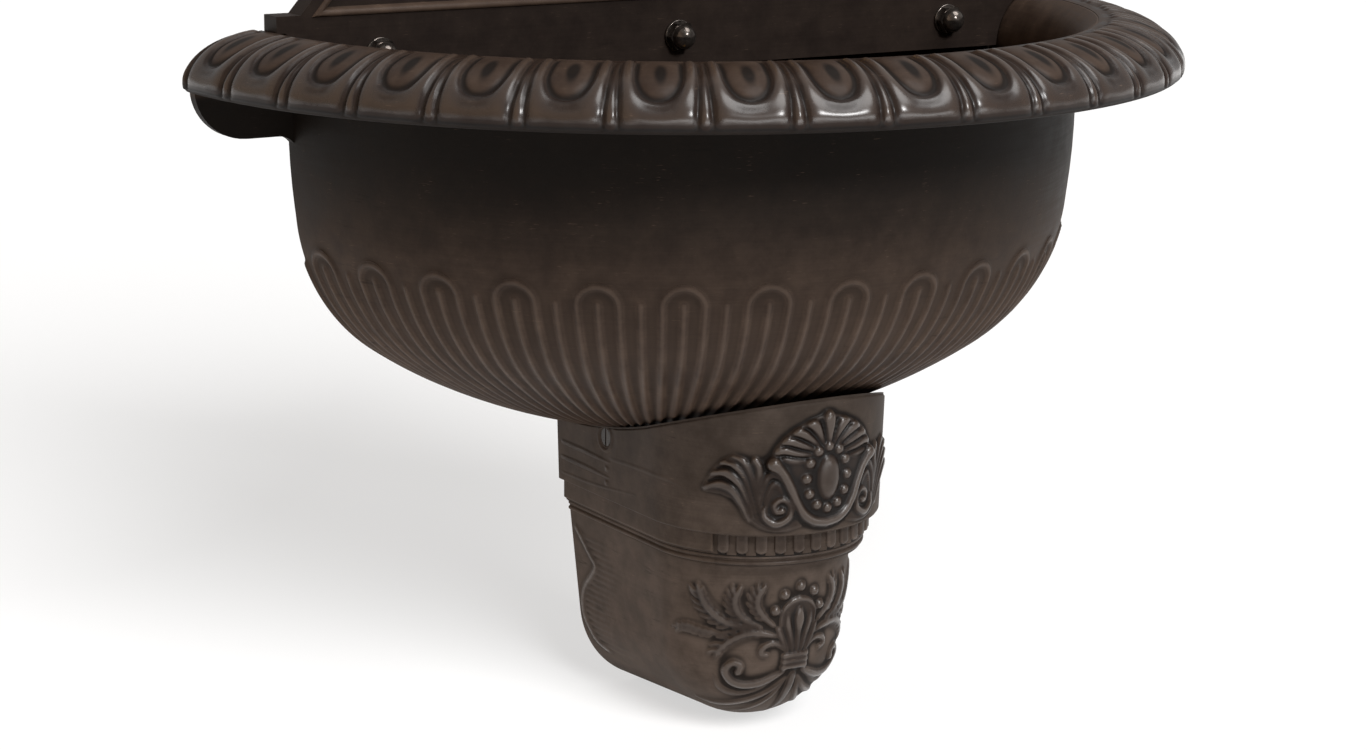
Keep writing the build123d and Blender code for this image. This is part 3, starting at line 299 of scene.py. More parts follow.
def cast_skin(name, front, back, wear_and_painted_light, relief, material):
    """A closed skin: the carved front rows and the plain back rows, joined all round."""
    rows = np.concatenate([front, back[::-1], front[:1]])
    down, across = rows.shape[:2]
    bpy.ops.object.select_all(action="DESELECT")
    bpy.ops.mesh.primitive_grid_add(x_subdivisions=across - 1, y_subdivisions=down - 1, size=1)
    skin = bpy.context.object
    skin.name = skin.data.name = name
    skin.data.vertices.foreach_set("co", (rows * MM).astype(np.float32).ravel())
    for key, value in (("wear_and_painted_light", wear_and_painted_light), ("relief", relief)):
        field = skin.data.attributes.new(key, "FLOAT", "POINT")
        spread = np.concatenate([value, np.zeros(back.shape[:2]), value[:1]])
        field.data.foreach_set("value", spread.astype(np.float32).ravel())
    bpy.ops.object.mode_set(mode="EDIT")
    bpy.ops.mesh.select_all(action="SELECT")
    bpy.ops.mesh.remove_doubles(threshold=SEAM_REACH)
    bpy.ops.mesh.fill_holes(sides=0)
    bpy.ops.mesh.select_all(action="SELECT")
    bpy.ops.mesh.normals_make_consistent(inside=False)
    bpy.ops.object.mode_set(mode="OBJECT")
    bpy.ops.object.shade_smooth_by_angle(angle=SMOOTH_TO)
    dress(skin, material)
    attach(skin, "fountain")
    return skin


def wear_of(height, reach, depth):
    return np.clip((height - soften(height, reach)) / depth, -1.0, 1.0)


def revolved(r, z, turn):
    """Rows of points turned about the basin's axis, from its left end round to its right."""
    y = np.minimum(-r * np.cos(turn)[None, :], -WALL_CLEAR)
    return np.stack([r * np.sin(turn)[None, :], y, z], axis=-1)


# Rim: egg and dart on the rolled lip
EGGS = 20
EGG_PITCH = math.pi / EGGS
EGG_COLUMNS = 56
SKIN = 0.25
EGG_MIDDLE, EGG_STRAIGHT, EGG_END, EGG_HALF, EGG_RISE = 0.41, 0.40, 0.73, 0.245, 1.9
COLLAR_DROP, COLLAR_MIDDLE, COLLAR_HALF, COLLAR_RISE, BAND_RISE = 6.5, 13.4, 2.9, 2.3, 1.7
EGG_GROOVE, DART_GROOVE = 1.5, 1.0
EDGE_R, EDGE_DROP, CREST_LAP, RIM_ROOT = 2.9, 2.2, 2.6, 1.6
LIP_ROWS, EDGE_ROWS, ROOT_ROWS = 58, 10, 12


def lip_section(turn, out):
    """Points of the rolled lip, and its outward normals, from crest to edge."""
    r = CREST_R + (LIP_REACH + out) * np.sin(turn)
    z = -LIP_DROP + (LIP_DROP + out) * np.cos(turn)
    slope_r, slope_z = LIP_DROP * np.sin(turn), LIP_REACH * np.cos(turn)
    size = np.hypot(slope_r, slope_z)
    return r, z, slope_r / size, slope_z / size


def rounded(distance, half, lift):
    """Half-round ridge of that half width."""
    return lift * np.sqrt(np.clip(1 - (distance / half) ** 2, 0, 1))


def egg_relief(r, along, length, turn):
    """Height of egg, collar and dart above the lip, and how polished each is."""
    pitch = EGG_PITCH * r
    across = (np.mod(turn / EGG_PITCH, 1.0) - 0.5) * pitch
    egg_half = EGG_HALF * pitch
    straight, end = EGG_STRAIGHT * length, EGG_END * length
    below = np.clip(along - straight, 0, None) * egg_half / (end - straight)
    spread = np.hypot(across, below)
    away = spread - egg_half
    egg = EGG_RISE * np.clip(1 - (spread / egg_half) ** 3.0, 0, 1) ** 0.6
    dart = pitch / 2 - np.abs(across)
    dart_half = 0.9 + 2.1 * (along / length) ** 1.6
    inner = away - EGG_GROOVE
    outer = np.minimum(dart - dart_half - DART_GROOVE, (length - along) * 0.9 + 2.5)
    share = np.clip(inner / np.maximum(inner + outer, 1e-3), 0, 1)
    collar = COLLAR_RISE * np.sin(np.pi * share) ** 0.42 * (inner > 0) * (outer > 0)
    lower = along - EGG_MIDDLE * length - COLLAR_DROP
    band = np.where(lower > 0, np.hypot(across, lower), np.abs(across)) - COLLAR_MIDDLE
    band_lift = BAND_RISE * np.clip(1 - (band / COLLAR_HALF) ** 2, 0, 1)
    collar = (collar**12 + band_lift**12) ** (1 / 12)
    spear = (0.9 + 1.3 * along / length) * np.sqrt(np.clip(1 - (dart / dart_half) ** 2, 0, 1))
    ring = rounded(along + 1.5, 4.4, 0.9)
    top = np.clip((along - 2.8) / 1.8, 0, 1)
    body = np.maximum(np.maximum(egg, collar), spear) * top
    fade = np.clip((length + 1.2 - along) / 7.0, 0.1, 1) ** 0.5
    fallen = along / length
    bulge = np.clip((fallen - 0.55) / 0.25, 0, 1) * np.clip((1.0 - fallen) / 0.08, 0, 1)
    polish = np.where(np.maximum(collar, spear) > egg, 1.0 + 1.4 * bulge, 0.5)
    return soften(np.maximum(body * fade, ring), 1), polish


def egg_and_dart_rim():
    turn = np.linspace(-math.pi / 2, math.pi / 2, EGGS * EGG_COLUMNS + 1)
    lip = np.linspace(0, math.pi / 2, LIP_ROWS)
    r, z, nr, nz = lip_section(lip, SKIN)
    along = np.concatenate([[0], np.cumsum(np.hypot(np.diff(r), np.diff(z)))])
    length = along[-1]
    height, polish = egg_relief(r[:, None], along[:, None], length, turn[None, :])
    # A darker streak down the middle of each egg.
    egg_middle_mark = np.exp(-((np.mod(turn / EGG_PITCH, 1.0) - 0.52) / 0.09) ** 2)[None, :]
    fallen = along[:, None] / length
    egg_middle_mark = egg_middle_mark * np.exp(-((fallen - 0.42) / 0.2) ** 2)
    # Painted shade: the lowest part of the lip darkened, where it turns under.
    lip_edge_shade = np.clip((fallen - 0.95) / 0.05, 0, 1)
    wear_and_painted_light = wear_of(height, 5, 1.2) + 0.26 * (polish > 0.5) - 1.2 * egg_middle_mark - lip_edge_shade
    lip_r = r[:, None] + nr[:, None] * height
    lip_z = z[:, None] + nz[:, None] * height
    edge = np.linspace(0, math.pi, EDGE_ROWS)[1:]
    edge_r = CREST_R + LIP_REACH - EDGE_R + (EDGE_R + SKIN) * np.cos(edge)
    edge_z = -LIP_DROP - EDGE_DROP * np.sin(edge)
    crest_r, crest_z = np.array([CREST_R - CREST_LAP]), np.array([SKIN])
    wide = np.ones((1, len(turn)))
    front_r = np.concatenate([crest_r[:, None] * wide, lip_r, edge_r[:, None] * wide])
    front_z = np.concatenate([crest_z[:, None] * wide, lip_z, edge_z[:, None] * wide])
    # The rounded edge under the lip is marked dark: painted shade.
    painted_light_and_wear = np.concatenate([0 * wide, wear_and_painted_light, np.full((len(edge), 1), -0.9) * wide])
    gloss = np.concatenate([0.3 * wide, polish, np.full((len(edge), 1), 0.2) * wide])
    back_lip = np.linspace(0, math.pi / 2 - 0.12, ROOT_ROWS)
    back_r, back_z, _, _ = lip_section(back_lip, -RIM_ROOT)
    back_r = np.concatenate([[CREST_R - CREST_LAP], back_r])
    back_z = np.concatenate([[-RIM_ROOT], back_z])
    front = revolved(front_r, front_z, turn)
    back = revolved(back_r[:, None] * wide, back_z[:, None] * wide, turn)
    return cast_skin("rim_egg_and_dart", front, back, painted_light_and_wear, gloss, bronze_patina)


# Bowl: raised lines with arched tops, running down to the corbel
TONGUES = 16
LINE_STEP = math.pi / (4 * TONGUES)
LINE_COLUMNS = 10
LINE_RISE, TOP_DIVE, DIVE_RUN = 1.35, 0.6, 20.0
ARCH_TOP, LINE_TOP, ARCH_AT_R, NARROW_R = 104.0, 112.5, 201.0, 180
BOWL_HIGH, BOWL_LOW_R = math.radians(84.5), 50


def bowl_section(out, steps):
    """Bowl face from below the neck down to the corbel, with outward normals."""
    side = np.linspace(BOWL_HIGH, SIDE_TURN, max(2, int(14 * steps)))[:-1]
    shoulder = np.linspace(SIDE_TURN, BOTTOM_TURN, max(3, int(62 * steps)))[:-1]
    bottom = np.linspace(BOTTOM_TURN, math.asin(BOWL_LOW_R / BOTTOM_R), max(3, int(64 * steps)))
    low = BOTTOM_R - BOWL_DEPTH
    knee_r = (BOTTOM_R - SHOULDER_R) * math.sin(BOTTOM_TURN)
    knee_z = low - (BOTTOM_R - SHOULDER_R) * math.cos(BOTTOM_TURN)
    side_r = knee_r - (SIDE_R - SHOULDER_R) * math.sin(SIDE_TURN)
    side_z = knee_z + (SIDE_R - SHOULDER_R) * math.cos(SIDE_TURN)
    parts = [
        (side, side_r, side_z, SIDE_R),
        (shoulder, knee_r, knee_z, SHOULDER_R),
        (bottom, 0.0, low, BOTTOM_R),
    ]
    turn = np.concatenate([p[0] for p in parts])
    r = np.concatenate([c + (radius + out) * np.sin(a) for a, c, _, radius in parts])
    z = np.concatenate([c - (radius + out) * np.cos(a) for a, _, c, radius in parts])
    return r, z, np.sin(turn), -np.cos(turn)


def flute_relief(r, along, arch_top, line_top, turn):
    """Height of the raised lines: arched tongues, their inner lines and the lines between."""
    step = LINE_STEP * r
    cell = turn / LINE_STEP
    nearest = np.round(cell)
    off = np.abs(cell - nearest) * step
    half = np.minimum(1.95 + 0.25 * (r < NARROW_R), 0.36 * step)
    below = along - line_top
    single = np.where(below < 0, np.hypot(off, below), off)
    tongue = (np.mod(cell, 4) - 2) * step
    arch_r = LINE_STEP * ARCH_AT_R
    drop = along - (arch_top + arch_r)
    bend = np.abs(np.hypot(tongue, drop) - arch_r)
    arch = np.where(drop < 0, bend, np.abs(np.abs(tongue) - step))
    line = np.where(np.mod(nearest, 2) == 0, single, FAR)
    distance = np.minimum(line, arch)
    return LINE_RISE * np.exp(-((distance / half) ** 2) * 1.6)


def fluted_bowl():
    turn = np.linspace(-math.pi / 2, math.pi / 2, 4 * TONGUES * LINE_COLUMNS + 1)
    r, z, nr, nz = bowl_section(SKIN, 1.0)
    along = np.concatenate([[0], np.cumsum(np.hypot(np.diff(r), np.diff(z)))])
    arch_top = np.interp(ARCH_TOP, -z, along)
    line_top = np.interp(LINE_TOP, -z, along)
    height = flute_relief(r[:, None], along[:, None], arch_top, line_top, turn[None, :])
    wear_and_painted_light = wear_of(height, 3, 0.9)
    gloss = 0.2 * np.clip(height, 0, 1)
    height = height - TOP_DIVE * np.clip(1 - along / DIVE_RUN, 0, 1)[:, None]
    front_r = r[:, None] + nr[:, None] * height
    front_z = z[:, None] + nz[:, None] * height
    back_r, back_z, _, _ = bowl_section(-CAST_ROOT, 0.12)
    wide = np.ones((1, len(turn)))
    front = revolved(front_r, front_z, turn)
    back = revolved(back_r[:, None] * wide, back_z[:, None] * wide, turn)
    return cast_skin("bowl_flutes", front, back, wear_and_painted_light, gloss, bronze_patina)


def smooth_path(points, steps=7):
    """A rounded line through the given places, each with its half width."""
    spots = np.array(points, float)
    ends = np.vstack([2 * spots[0] - spots[1], spots, 2 * spots[-1] - spots[-2]])
    t = np.linspace(0, 1, steps, endpoint=False)[:, None]
    runs = []
    for a, b, c, d in zip(ends, ends[1:], ends[2:], ends[3:]):
        bow, twist = 2 * a - 5 * b + 4 * c - d, 3 * b - a - 3 * c + d
        runs.append(0.5 * (2 * b + (c - a) * t + bow * t**2 + twist * t**3))
    return np.vstack(runs + [spots[-1:]])


def beside(u, v, start, end):
    """Share of the way along a straight run that is nearest to each place, and how far off it is."""
    du, dv = end[0] - start[0], end[1] - start[1]
    along = (u - start[0]) * du + (v - start[1]) * dv
    share = np.clip(along / max(du * du + dv * dv, 1e-9), 0, 1)
    return share, np.hypot(u - start[0] - share * du, v - start[1] - share * dv)


def mirrored(points):
    return [(-u, *rest) for u, *rest in points]


FINEST_HALF, VEIN_HALF = 0.05, 0.3
LOBE_MIDDLE, LOBE_TIP = (0.45, 0.55, 1.1), (1.05, 0.85, 0.6)


class Carving:
    """Relief worked on a sheet of places (u across, v up), in millimetres."""

    def __init__(self, u, v):
        self.u, self.v = u, v
        self.height = np.zeros_like(u)

    def stroke(self, points, lift=0.8, vein=0.0, base=0.0):
        """A half-round line along the points, with an optional groove down its middle."""
        path = smooth_path(points)
        reach = path[:, 2].max()
        (low_u, low_v), (high_u, high_v) = path[:, :2].min(0) - reach, path[:, :2].max(0) + reach
        near = (self.u > low_u) & (self.u < high_u) & (self.v > low_v) & (self.v < high_v)
        u, v = self.u[near], self.v[near]
        best = np.zeros_like(u)
        for start, end in zip(path, path[1:]):
            share, away = beside(u, v, start, end)
            half = np.maximum(start[2] + (end[2] - start[2]) * share, FINEST_HALF)
            ratio = away / half
            cut = 1 - vein * np.exp(-((ratio / VEIN_HALF) ** 2))
            best = np.maximum(best, half * np.sqrt(np.clip(1 - ratio**2, 0, 1)) * cut)
        raised = np.where(best > 0, base + lift * best, 0)
        self.height[near] = np.maximum(self.height[near], raised)

    def pair(self, points, **how):
        """The same stroke on both sides of the middle."""
        self.stroke(points, **how)
        self.stroke(mirrored(points), **how)

    def boss(self, u, v, half_u, half_v, lift, base=0.0):
        ratio = np.hypot((self.u - u) / half_u, (self.v - v) / half_v)
        raised = np.where(ratio < 1, base + lift * np.sqrt(np.clip(1 - ratio**2, 0, 1)), 0)
        self.height = np.maximum(self.height, raised)

    def groove(self, points, depth):
        path = smooth_path(points)
        near = np.full(self.u.shape, FAR)
        for start, end in zip(path, path[1:]):
            share, away = beside(self.u, self.v, start, end)
            near = np.minimum(near, away / (start[2] + (end[2] - start[2]) * share))
        self.height = self.height - depth * np.sqrt(np.clip(1 - near**2, 0, 1))

    def part(self, leaves, halves, depth):
        """Lines cut between neighbouring leaves, on both sides of the middle."""
        for first, second in zip(leaves, leaves[1:]):
            line = [((a[0] + b[0]) / 2, (a[1] + b[1]) / 2, half) for a, b, half in zip(first, second, halves)]
            self.groove(mirrored(line), depth)
            self.groove(line, depth)

    def ground(self, outline, lift, roll):
        """A raised bed inside a closed outline, rounded over at its edge."""
        ring = np.array(outline, float)
        inside = np.zeros(self.u.shape, bool)
        edge = np.full(self.u.shape, FAR)
        for start, end in zip(ring, np.roll(ring, -1, axis=0)):
            edge = np.minimum(edge, beside(self.u, self.v, start, end)[1])
            du, dv = end - start
            if dv:
                crossing = (self.v > start[1]) != (self.v > end[1])
                inside ^= crossing & (self.u < start[0] + (self.v - start[1]) * du / dv)
        rise = np.clip(edge / roll, 0, 1)
        bed = np.where(inside, lift * np.sqrt(1 - (1 - rise) ** 2), 0)
        self.height = np.maximum(self.height, bed)

    def frond(self, points, barbs, reach, lift=0.75, outer=1):
        """A leaf: a domed bed, a rib along the points from the root, and lobes, long on its outer side."""
        swell = np.sin(np.pi * np.linspace(0.12, 0.86, len(points)))
        self.pair([(u, v, reach * w) for (u, v, _), w in zip(points, swell)], lift=0.14)
        self.pair(points, lift=lift, vein=0.2, base=0.5)
        path = smooth_path(points, 12)
        for share in np.linspace(0.2, 0.84, barbs):
            spot = int(share * (len(path) - 2))
            (u, v, half), (ahead_u, ahead_v, _) = path[spot], path[spot + 1]
            size = math.hypot(ahead_u - u, ahead_v - v)
            du, dv = (ahead_u - u) / size, (ahead_v - v) / size
            for side in (-1, 1):
                long = reach * (1.15 - 0.7 * abs(share - 0.55)) * (1.2 if side == outer else 0.55)
                nu, nv = -side * dv, side * du
                lobe = [(u, v, 0.7 * half)]
                for ahead, out, wide in (LOBE_MIDDLE, LOBE_TIP):
                    step_u, step_v = ahead * du + out * nu, ahead * dv + out * nv
                    lobe.append((u + long * step_u, v + long * step_v, wide))
                self.pair(lobe, lift=lift, base=0.5)


# Frieze ornament, one side of it: places across and up, and for lines also their half widths
SHIELD = [
    (0, -175.4), (4.4, -178), (10, -179.6), (18, -183.4), (23, -187.4), (27, -192.6), (29, -197),
    (31, -200.8), (27.4, -205.8), (24, -210.6), (21, -217), (17.6, -224), (13, -230), (7, -233.4),
    (0, -234.4),
]
WING = [
    (-27, -207), (-33, -203.6), (-32.4, -199.8), (-36, -197.2), (-39.6, -200.4), (-42, -197.2),
    (-46.5, -195.8), (-52, -199.2), (-57, -205), (-61.6, -213.2), (-60.6, -215.8), (-52, -216.4),
    (-46.4, -218.6), (-43, -222.6), (-40.4, -227.6), (-35, -231.6), (-27, -234), (-18, -233.8),
    (-13, -230.6), (-18, -222), (-22, -213),
]
PALMETTE = [
    [(0, -193, 1.5), (0, -187, 2.5), (0, -181, 3.2), (0, -178, 2.3)],
    [(-2.9, -192, 1.2), (-5.1, -187, 2.1), (-7.8, -182.8, 2.8), (-9.9, -182.2, 2.0)],
    [(-5.4, -192.8, 1.2), (-10, -188.8, 2.0), (-14.7, -185.8, 2.7), (-17.2, -186, 1.9)],
    [(-7.8, -194.4, 1.2), (-13.7, -192, 2.0), (-19.7, -189.6, 2.6), (-22.2, -190.2, 1.8)],
    [(-10, -197, 1.2), (-16.7, -195.8, 1.9), (-23.2, -194, 2.3), (-25.8, -195, 1.6)],
    [(-12, -200, 1.1), (-16.4, -199.7, 1.5), (-20.2, -199.2, 1.7), (-22.4, -198.6, 1.6)],
]
STRAP = [
    (-27.2, -200.8, 3.7), (-24.6, -203.2, 2.9), (-21.8, -207, 2.5), (-18.8, -213, 2.4),
    (-16, -219.5, 2.4), (-12.2, -225.8, 2.4), (-6.6, -229.8, 2.4), (0, -231, 2.4),
]
FEATHERS = [
    [(-60.4, -214.2, 1.0), (-53, -211.6, 2.3), (-46, -213.8, 2.5), (-41, -221.4, 1.6), (-38, -229, 1.0)],
    [(-56.2, -206.6, 1.2), (-49.6, -205.4, 2.5), (-43, -210.6, 2.6), (-38.8, -219.6, 1.7), (-36, -228, 1.0)],
    [
        (-51.6, -200.8, 1.3), (-46.4, -200.8, 2.4), (-41, -206.6, 2.4),
        (-37.4, -216.6, 1.7), (-34.4, -227, 1.0),
    ],
    [(-46, -197.6, 1.2), (-41.6, -199.8, 1.9), (-38.4, -206, 2.0), (-35.8, -215, 1.6), (-33, -226, 1.0)],
]
HOOKS = [
    [
        (-33.4, -226, 1.2), (-32.2, -215, 1.7), (-28.8, -206.4, 1.9),
        (-23.8, -208.2, 1.8), (-20.4, -214.8, 1.3),
    ],
    [(-30.6, -222, 1.1), (-29.8, -215.4, 1.5), (-27.2, -210.8, 1.6), (-24, -212.2, 1.5), (-22, -216.4, 1.1)],
]
SPUR = [(-36, -198.6, 1.5), (-33.8, -203, 2.0), (-34.2, -211, 1.8), (-32.8, -220, 1.3)]
VOLUTE = [
    (-31, -222.6, 1.2), (-30.6, -227, 1.8), (-25.6, -230.4, 2.1), (-19.6, -227.6, 2.0), (-18.6, -221.8, 1.9),
    (-22.4, -218.4, 1.7), (-26.2, -220.8, 1.6), (-25.4, -224.4, 1.6), (-22.8, -224, 2.1),
]
WING_EDGE = [
    (-13.4, -231.8, 0.8), (-20, -233.2, 1.2), (-27, -233, 1.3),
    (-33.4, -231, 1.3), (-39.4, -226.6, 0.9),
]
OVAL_V, OVAL_HALF_U, OVAL_HALF_V, OVAL_RISE = -208.8, 6.7, 11.7, 3.4
BEADS, BEADS_HALF_U, BEADS_HALF_V, BEAD_R, BEAD_RISE = 12, 11.2, 15.3, 2.75, 2.5
FLANK_BEAD_U, FLANK_BEADS_V = 138.4, (-220.7, -228.1)
FLANK_LINES = [
    ([(183, -216.2, 1.2), (160, -216.4, 1.3), (136, -217, 0.6)], 0.5),
    ([(183, -224.2, 1.2), (160, -224.4, 1.3), (136, -225, 0.6)], 0.5),
    ([(183, -232.4, 0.7), (150, -231.6, 0.8), (110, -228, 0.4)], 0.4),
    ([(134, -214.7, 0.9), (110, -213.6, 1.0), (82, -213.6, 0.9), (68, -217.1, 0.4)], 0.3),
]
FLANK_GROOVES = [
    [(186, -219.4, 1.8), (160, -219.6, 1.8), (140, -220.6, 1.2)],
    [(186, -227.8, 1.8), (160, -227.9, 1.8), (140, -228.0, 1.2)],
]
FLANK_GROOVE_DEPTH = 0.6


def frieze_ornament(carving):
    """Palmette over a beaded oval in a strap, with volutes and acanthus wings."""
    carving.ground(SHIELD + mirrored(SHIELD[-2:0:-1]), 1.3, 1.5)
    carving.ground(WING, 0.9, 1.3)
    carving.ground(mirrored(WING), 0.9, 1.3)
    for line in PALMETTE:
        carving.pair(line, lift=0.8, vein=0.32, base=0.9)
    carving.part(PALMETTE, (0.4, 0.6, 0.7, 0.6), 1.0)
    carving.pair(STRAP, lift=0.95, base=0.9)
    for bead in range(BEADS):
        angle = math.tau * bead / BEADS
        u, v = BEADS_HALF_U * math.sin(angle), OVAL_V + BEADS_HALF_V * math.cos(angle)
        carving.boss(u, v, BEAD_R, BEAD_R, BEAD_RISE, 0.8)
    carving.boss(0, OVAL_V, OVAL_HALF_U, OVAL_HALF_V, OVAL_RISE, 0.7)
    for line in FEATHERS + HOOKS + [SPUR]:
        carving.pair(line, lift=0.8, vein=0.4, base=0.5)
    carving.part(FEATHERS, (0.9, 0.9, 0.8, 0.6, 0.45), 1.0)
    carving.part(HOOKS, (0.5, 0.7, 0.7, 0.7, 0.5), 0.8)
    carving.pair(VOLUTE, lift=1.0, base=0.6)
    carving.pair(WING_EDGE, lift=0.7, base=0.3)
    for side in (-1, 1):
        for v in FLANK_BEADS_V:
            carving.boss(side * FLANK_BEAD_U, v, 1.7, 1.5, 0.9)
        for line, lift in FLANK_LINES:
            carving.stroke([(side * u, v, half) for u, v, half in line], lift=lift)
        for line in FLANK_GROOVES:
            carving.groove([(side * u, v, half) for u, v, half in line], FLANK_GROOVE_DEPTH)


# Foot ornament, in the same way
SHELL = [
    (-9.6, -290), (-10.2, -282), (-7, -276.4), (0, -273.8), (7, -276.4), (10.2, -282),
    (9.6, -290), (6.4, -298), (6, -303), (-6, -303), (-6.4, -298),
]
SHELL_BEADS = [(0, -268.6), (-8.4, -272.4), (8.4, -272.4), (-12.8, -280.4), (12.8, -280.4)]
SHELL_RIM = [(-9.4, -288, 1.0), (-9.2, -281.6, 1.3), (-5.4, -276.8, 1.4), (0, -275, 1.5)]
SHELL_RIB = [(0, -280.4, 1.6), (0, -285.6, 2.9), (0, -293, 1.8), (0, -303, 1.1)]
SHELL_LEAF = [(-6.4, -282.4, 1.2), (-6, -287.6, 1.9), (-4, -295, 1.6), (-2.2, -303, 1.0)]
STEM_LEAF = [(-10.6, -290, 1.5), (-8.4, -295.4, 1.7), (-4.8, -303, 1.1)]
BINDINGS_V = (-304.6, -307.7, -310.8)
FOOT_SCROLL = [
    (-5.6, -313.2, 1.4), (-11.5, -316.6, 2.0), (-18, -319.2, 2.3), (-25, -319.6, 2.4), (-31.2, -316.8, 2.4),
    (-34.8, -311.6, 2.3), (-32, -307.4, 2.0), (-28, -308.8, 1.8), (-28.4, -312.4, 2.2),
]
SCROLL_LEAF = [(-8, -315, 0.9), (-16, -322.4, 1.4), (-26, -325.2, 1.6), (-35, -322, 1.5), (-40, -315, 0.7)]
SMALL_SCROLL = [
    (-5.4, -302.4, 1.1), (-9.4, -298.4, 1.6), (-13.6, -297.4, 1.8), (-17.6, -299.4, 1.8),
    (-18.4, -302.4, 1.6), (-15.6, -303.4, 1.5),
]
DROOPING_SPRAY = [
    (-10.6, -294, 1.0), (-19.6, -291.6, 1.8), (-26.4, -291.6, 2.0), (-32.9, -294.7, 1.9),
    (-38.6, -300.4, 1.5), (-40.6, -305.6, 0.7),
]
OUTER_SPRAY = [
    (-22, -288, 1.0), (-30.5, -287.6, 1.7), (-39.6, -284.4, 1.9), (-46.6, -278.6, 1.9),
    (-50.6, -272, 1.6), (-52.4, -267.4, 0.9),
]
MIDDLE_SPRAY = [
    (-19.5, -288.6, 1.0), (-27.4, -284.8, 1.6), (-32, -279.4, 1.8),
    (-33.2, -273.4, 1.8), (-31, -267.6, 1.1),
]
INNER_SPRAY = [(-13, -288, 1.0), (-18.8, -282.6, 1.6), (-22, -277.4, 1.8), (-22, -272, 1.8), (-19, -267, 1.1)]
FLANK_SPRAY = [(-36, -292.4, 0.9), (-47.6, -291.4, 1.5), (-57.5, -290.2, 1.3), (-66, -292.4, 0.6)]
LOW_LEAVES = [
    [(-2.7, -316.8, 1.0), (-11, -325.4, 1.6), (-21, -331, 1.8), (-31.5, -333.4, 1.6), (-44.8, -331.4, 0.7)],
    [(-3.8, -319.4, 0.9), (-8, -329, 1.5), (-15, -337, 1.6), (-26, -341, 0.9)],
]
TAIL = [(0, -315, 2.2), (0, -322, 2.6), (0, -333, 1.8), (0, -342, 0.9)]
BRACE = [
    (-160.2, -262.6), (-147.3, -273.6), (-140.6, -280.4), (-149.9, -291.9), (-153.7, -300.1),
    (-152.6, -309.1), (-146.9, -316.5), (-138.9, -323.2), (-127.3, -326.7),
]
FRINGE = [
    (-135.3, -255.7), (-130.7, -264.1), (-120.4, -274.2), (-113.5, -280.7), (-122.8, -291.6),
    (-125.3, -301.4), (-120.7, -313.3), (-104.8, -321.4), (-100.0, -327.0),
]
HATCH_LOW, HATCH_HIGH, HATCH_STEP = -324.0, -263.0, 3.4


def foot_ornament(carving):
    """Beads over a shell and stem, bound by rings, with acanthus sprays, scrolls and hatched flanks."""
    carving.ground(SHELL, 0.9, 1.6)
    for u, v in SHELL_BEADS:
        carving.boss(u, v, 2.7, 2.7, 2.5)
    carving.pair(SHELL_RIM, lift=0.8, base=0.5)
    carving.stroke(SHELL_RIB, lift=0.85, vein=0.25, base=0.6)
    carving.pair(SHELL_LEAF, lift=0.8, base=0.5)
    carving.pair(STEM_LEAF, lift=0.8, base=0.3)
    for v in BINDINGS_V:
        carving.stroke([(-6.4, v, 1.5), (0, v + 0.2, 1.6), (6.4, v, 1.5)], lift=1.2, base=0.3)
    carving.pair(FOOT_SCROLL, lift=0.9)
    carving.pair(SCROLL_LEAF, lift=0.6, vein=0.3)
    carving.pair(SMALL_SCROLL, lift=0.9)
    carving.frond(DROOPING_SPRAY, 7, 4.4, outer=-1)
    carving.frond(OUTER_SPRAY, 8, 4.6)
    carving.frond(MIDDLE_SPRAY, 7, 4.0)
    carving.frond(INNER_SPRAY, 6, 3.6)
    carving.frond(FLANK_SPRAY, 7, 3.0, lift=0.45)
    for line in LOW_LEAVES:
        carving.pair(line, lift=0.65)
    carving.stroke(TAIL, lift=0.75, vein=0.25)
    carving.pair([(u, v, 1.5) for u, v in BRACE], lift=0.8)
    brace_v, brace_u = zip(*sorted((v, u) for u, v in BRACE))
    fringe_v, fringe_u = zip(*sorted((v, u) for u, v in FRINGE))
    for v in np.arange(HATCH_LOW, HATCH_HIGH, HATCH_STEP):
        start, stop = np.interp(v, brace_v, brace_u), np.interp(v, fringe_v, fringe_u)
        carving.pair([(start, v, 1.0), ((start + stop) / 2, v + 0.3, 0.9), (stop, v + 0.4, 0.4)], lift=0.38)


class CorbelPlan:
    """Places round a tier of the corbel: along its left flank, round its front, along its right flank."""

    def __init__(self, front, flank, centre):
        left = np.linspace(-2, -1, flank, endpoint=False)
        columns = np.concatenate([left, np.linspace(-1, 1, front), -left[::-1]])
        self.side = np.sign(columns)
        self.angle = np.clip(columns, -1, 1) * math.pi / 2
        self.back = np.clip(np.abs(columns) - 1, 0, 1)
        self.straight = self.back * (centre - WALL_CLEAR)
        self.centre = centre

    def run(self, width):
        """Distance along a face of that half width, from the middle of the front."""
        return self.side * (np.abs(self.angle) * width + self.straight)

    def face(self, reach, z):
        """Points of a face so far out from the tier's middle, at those heights."""
        x = reach * np.sin(self.angle)
        y = -self.centre - reach * np.cos(self.angle) + self.straight
        return np.stack([x, y, np.broadcast_to(z, x.shape)], axis=-1)


def frieze_width(z):
    return FRIEZE_LOW_X + (FRIEZE_X - FRIEZE_LOW_X) * (z - FRIEZE_LOW) / (FRIEZE_TOP - FRIEZE_LOW)


def scribed_top(plan):
    """Height of the corbel's top edge, cut to the bowl it carries."""
    x, y, _ = plan.face(np.array([[FRIEZE_X]]), 0.0)[0].T
    r = np.hypot(x, y)
    return np.minimum(SCRIBE_R - np.sqrt(SCRIBE_R**2 - r**2) - BOWL_DEPTH - SCRIBE_GAP, FRIEZE_TOP)


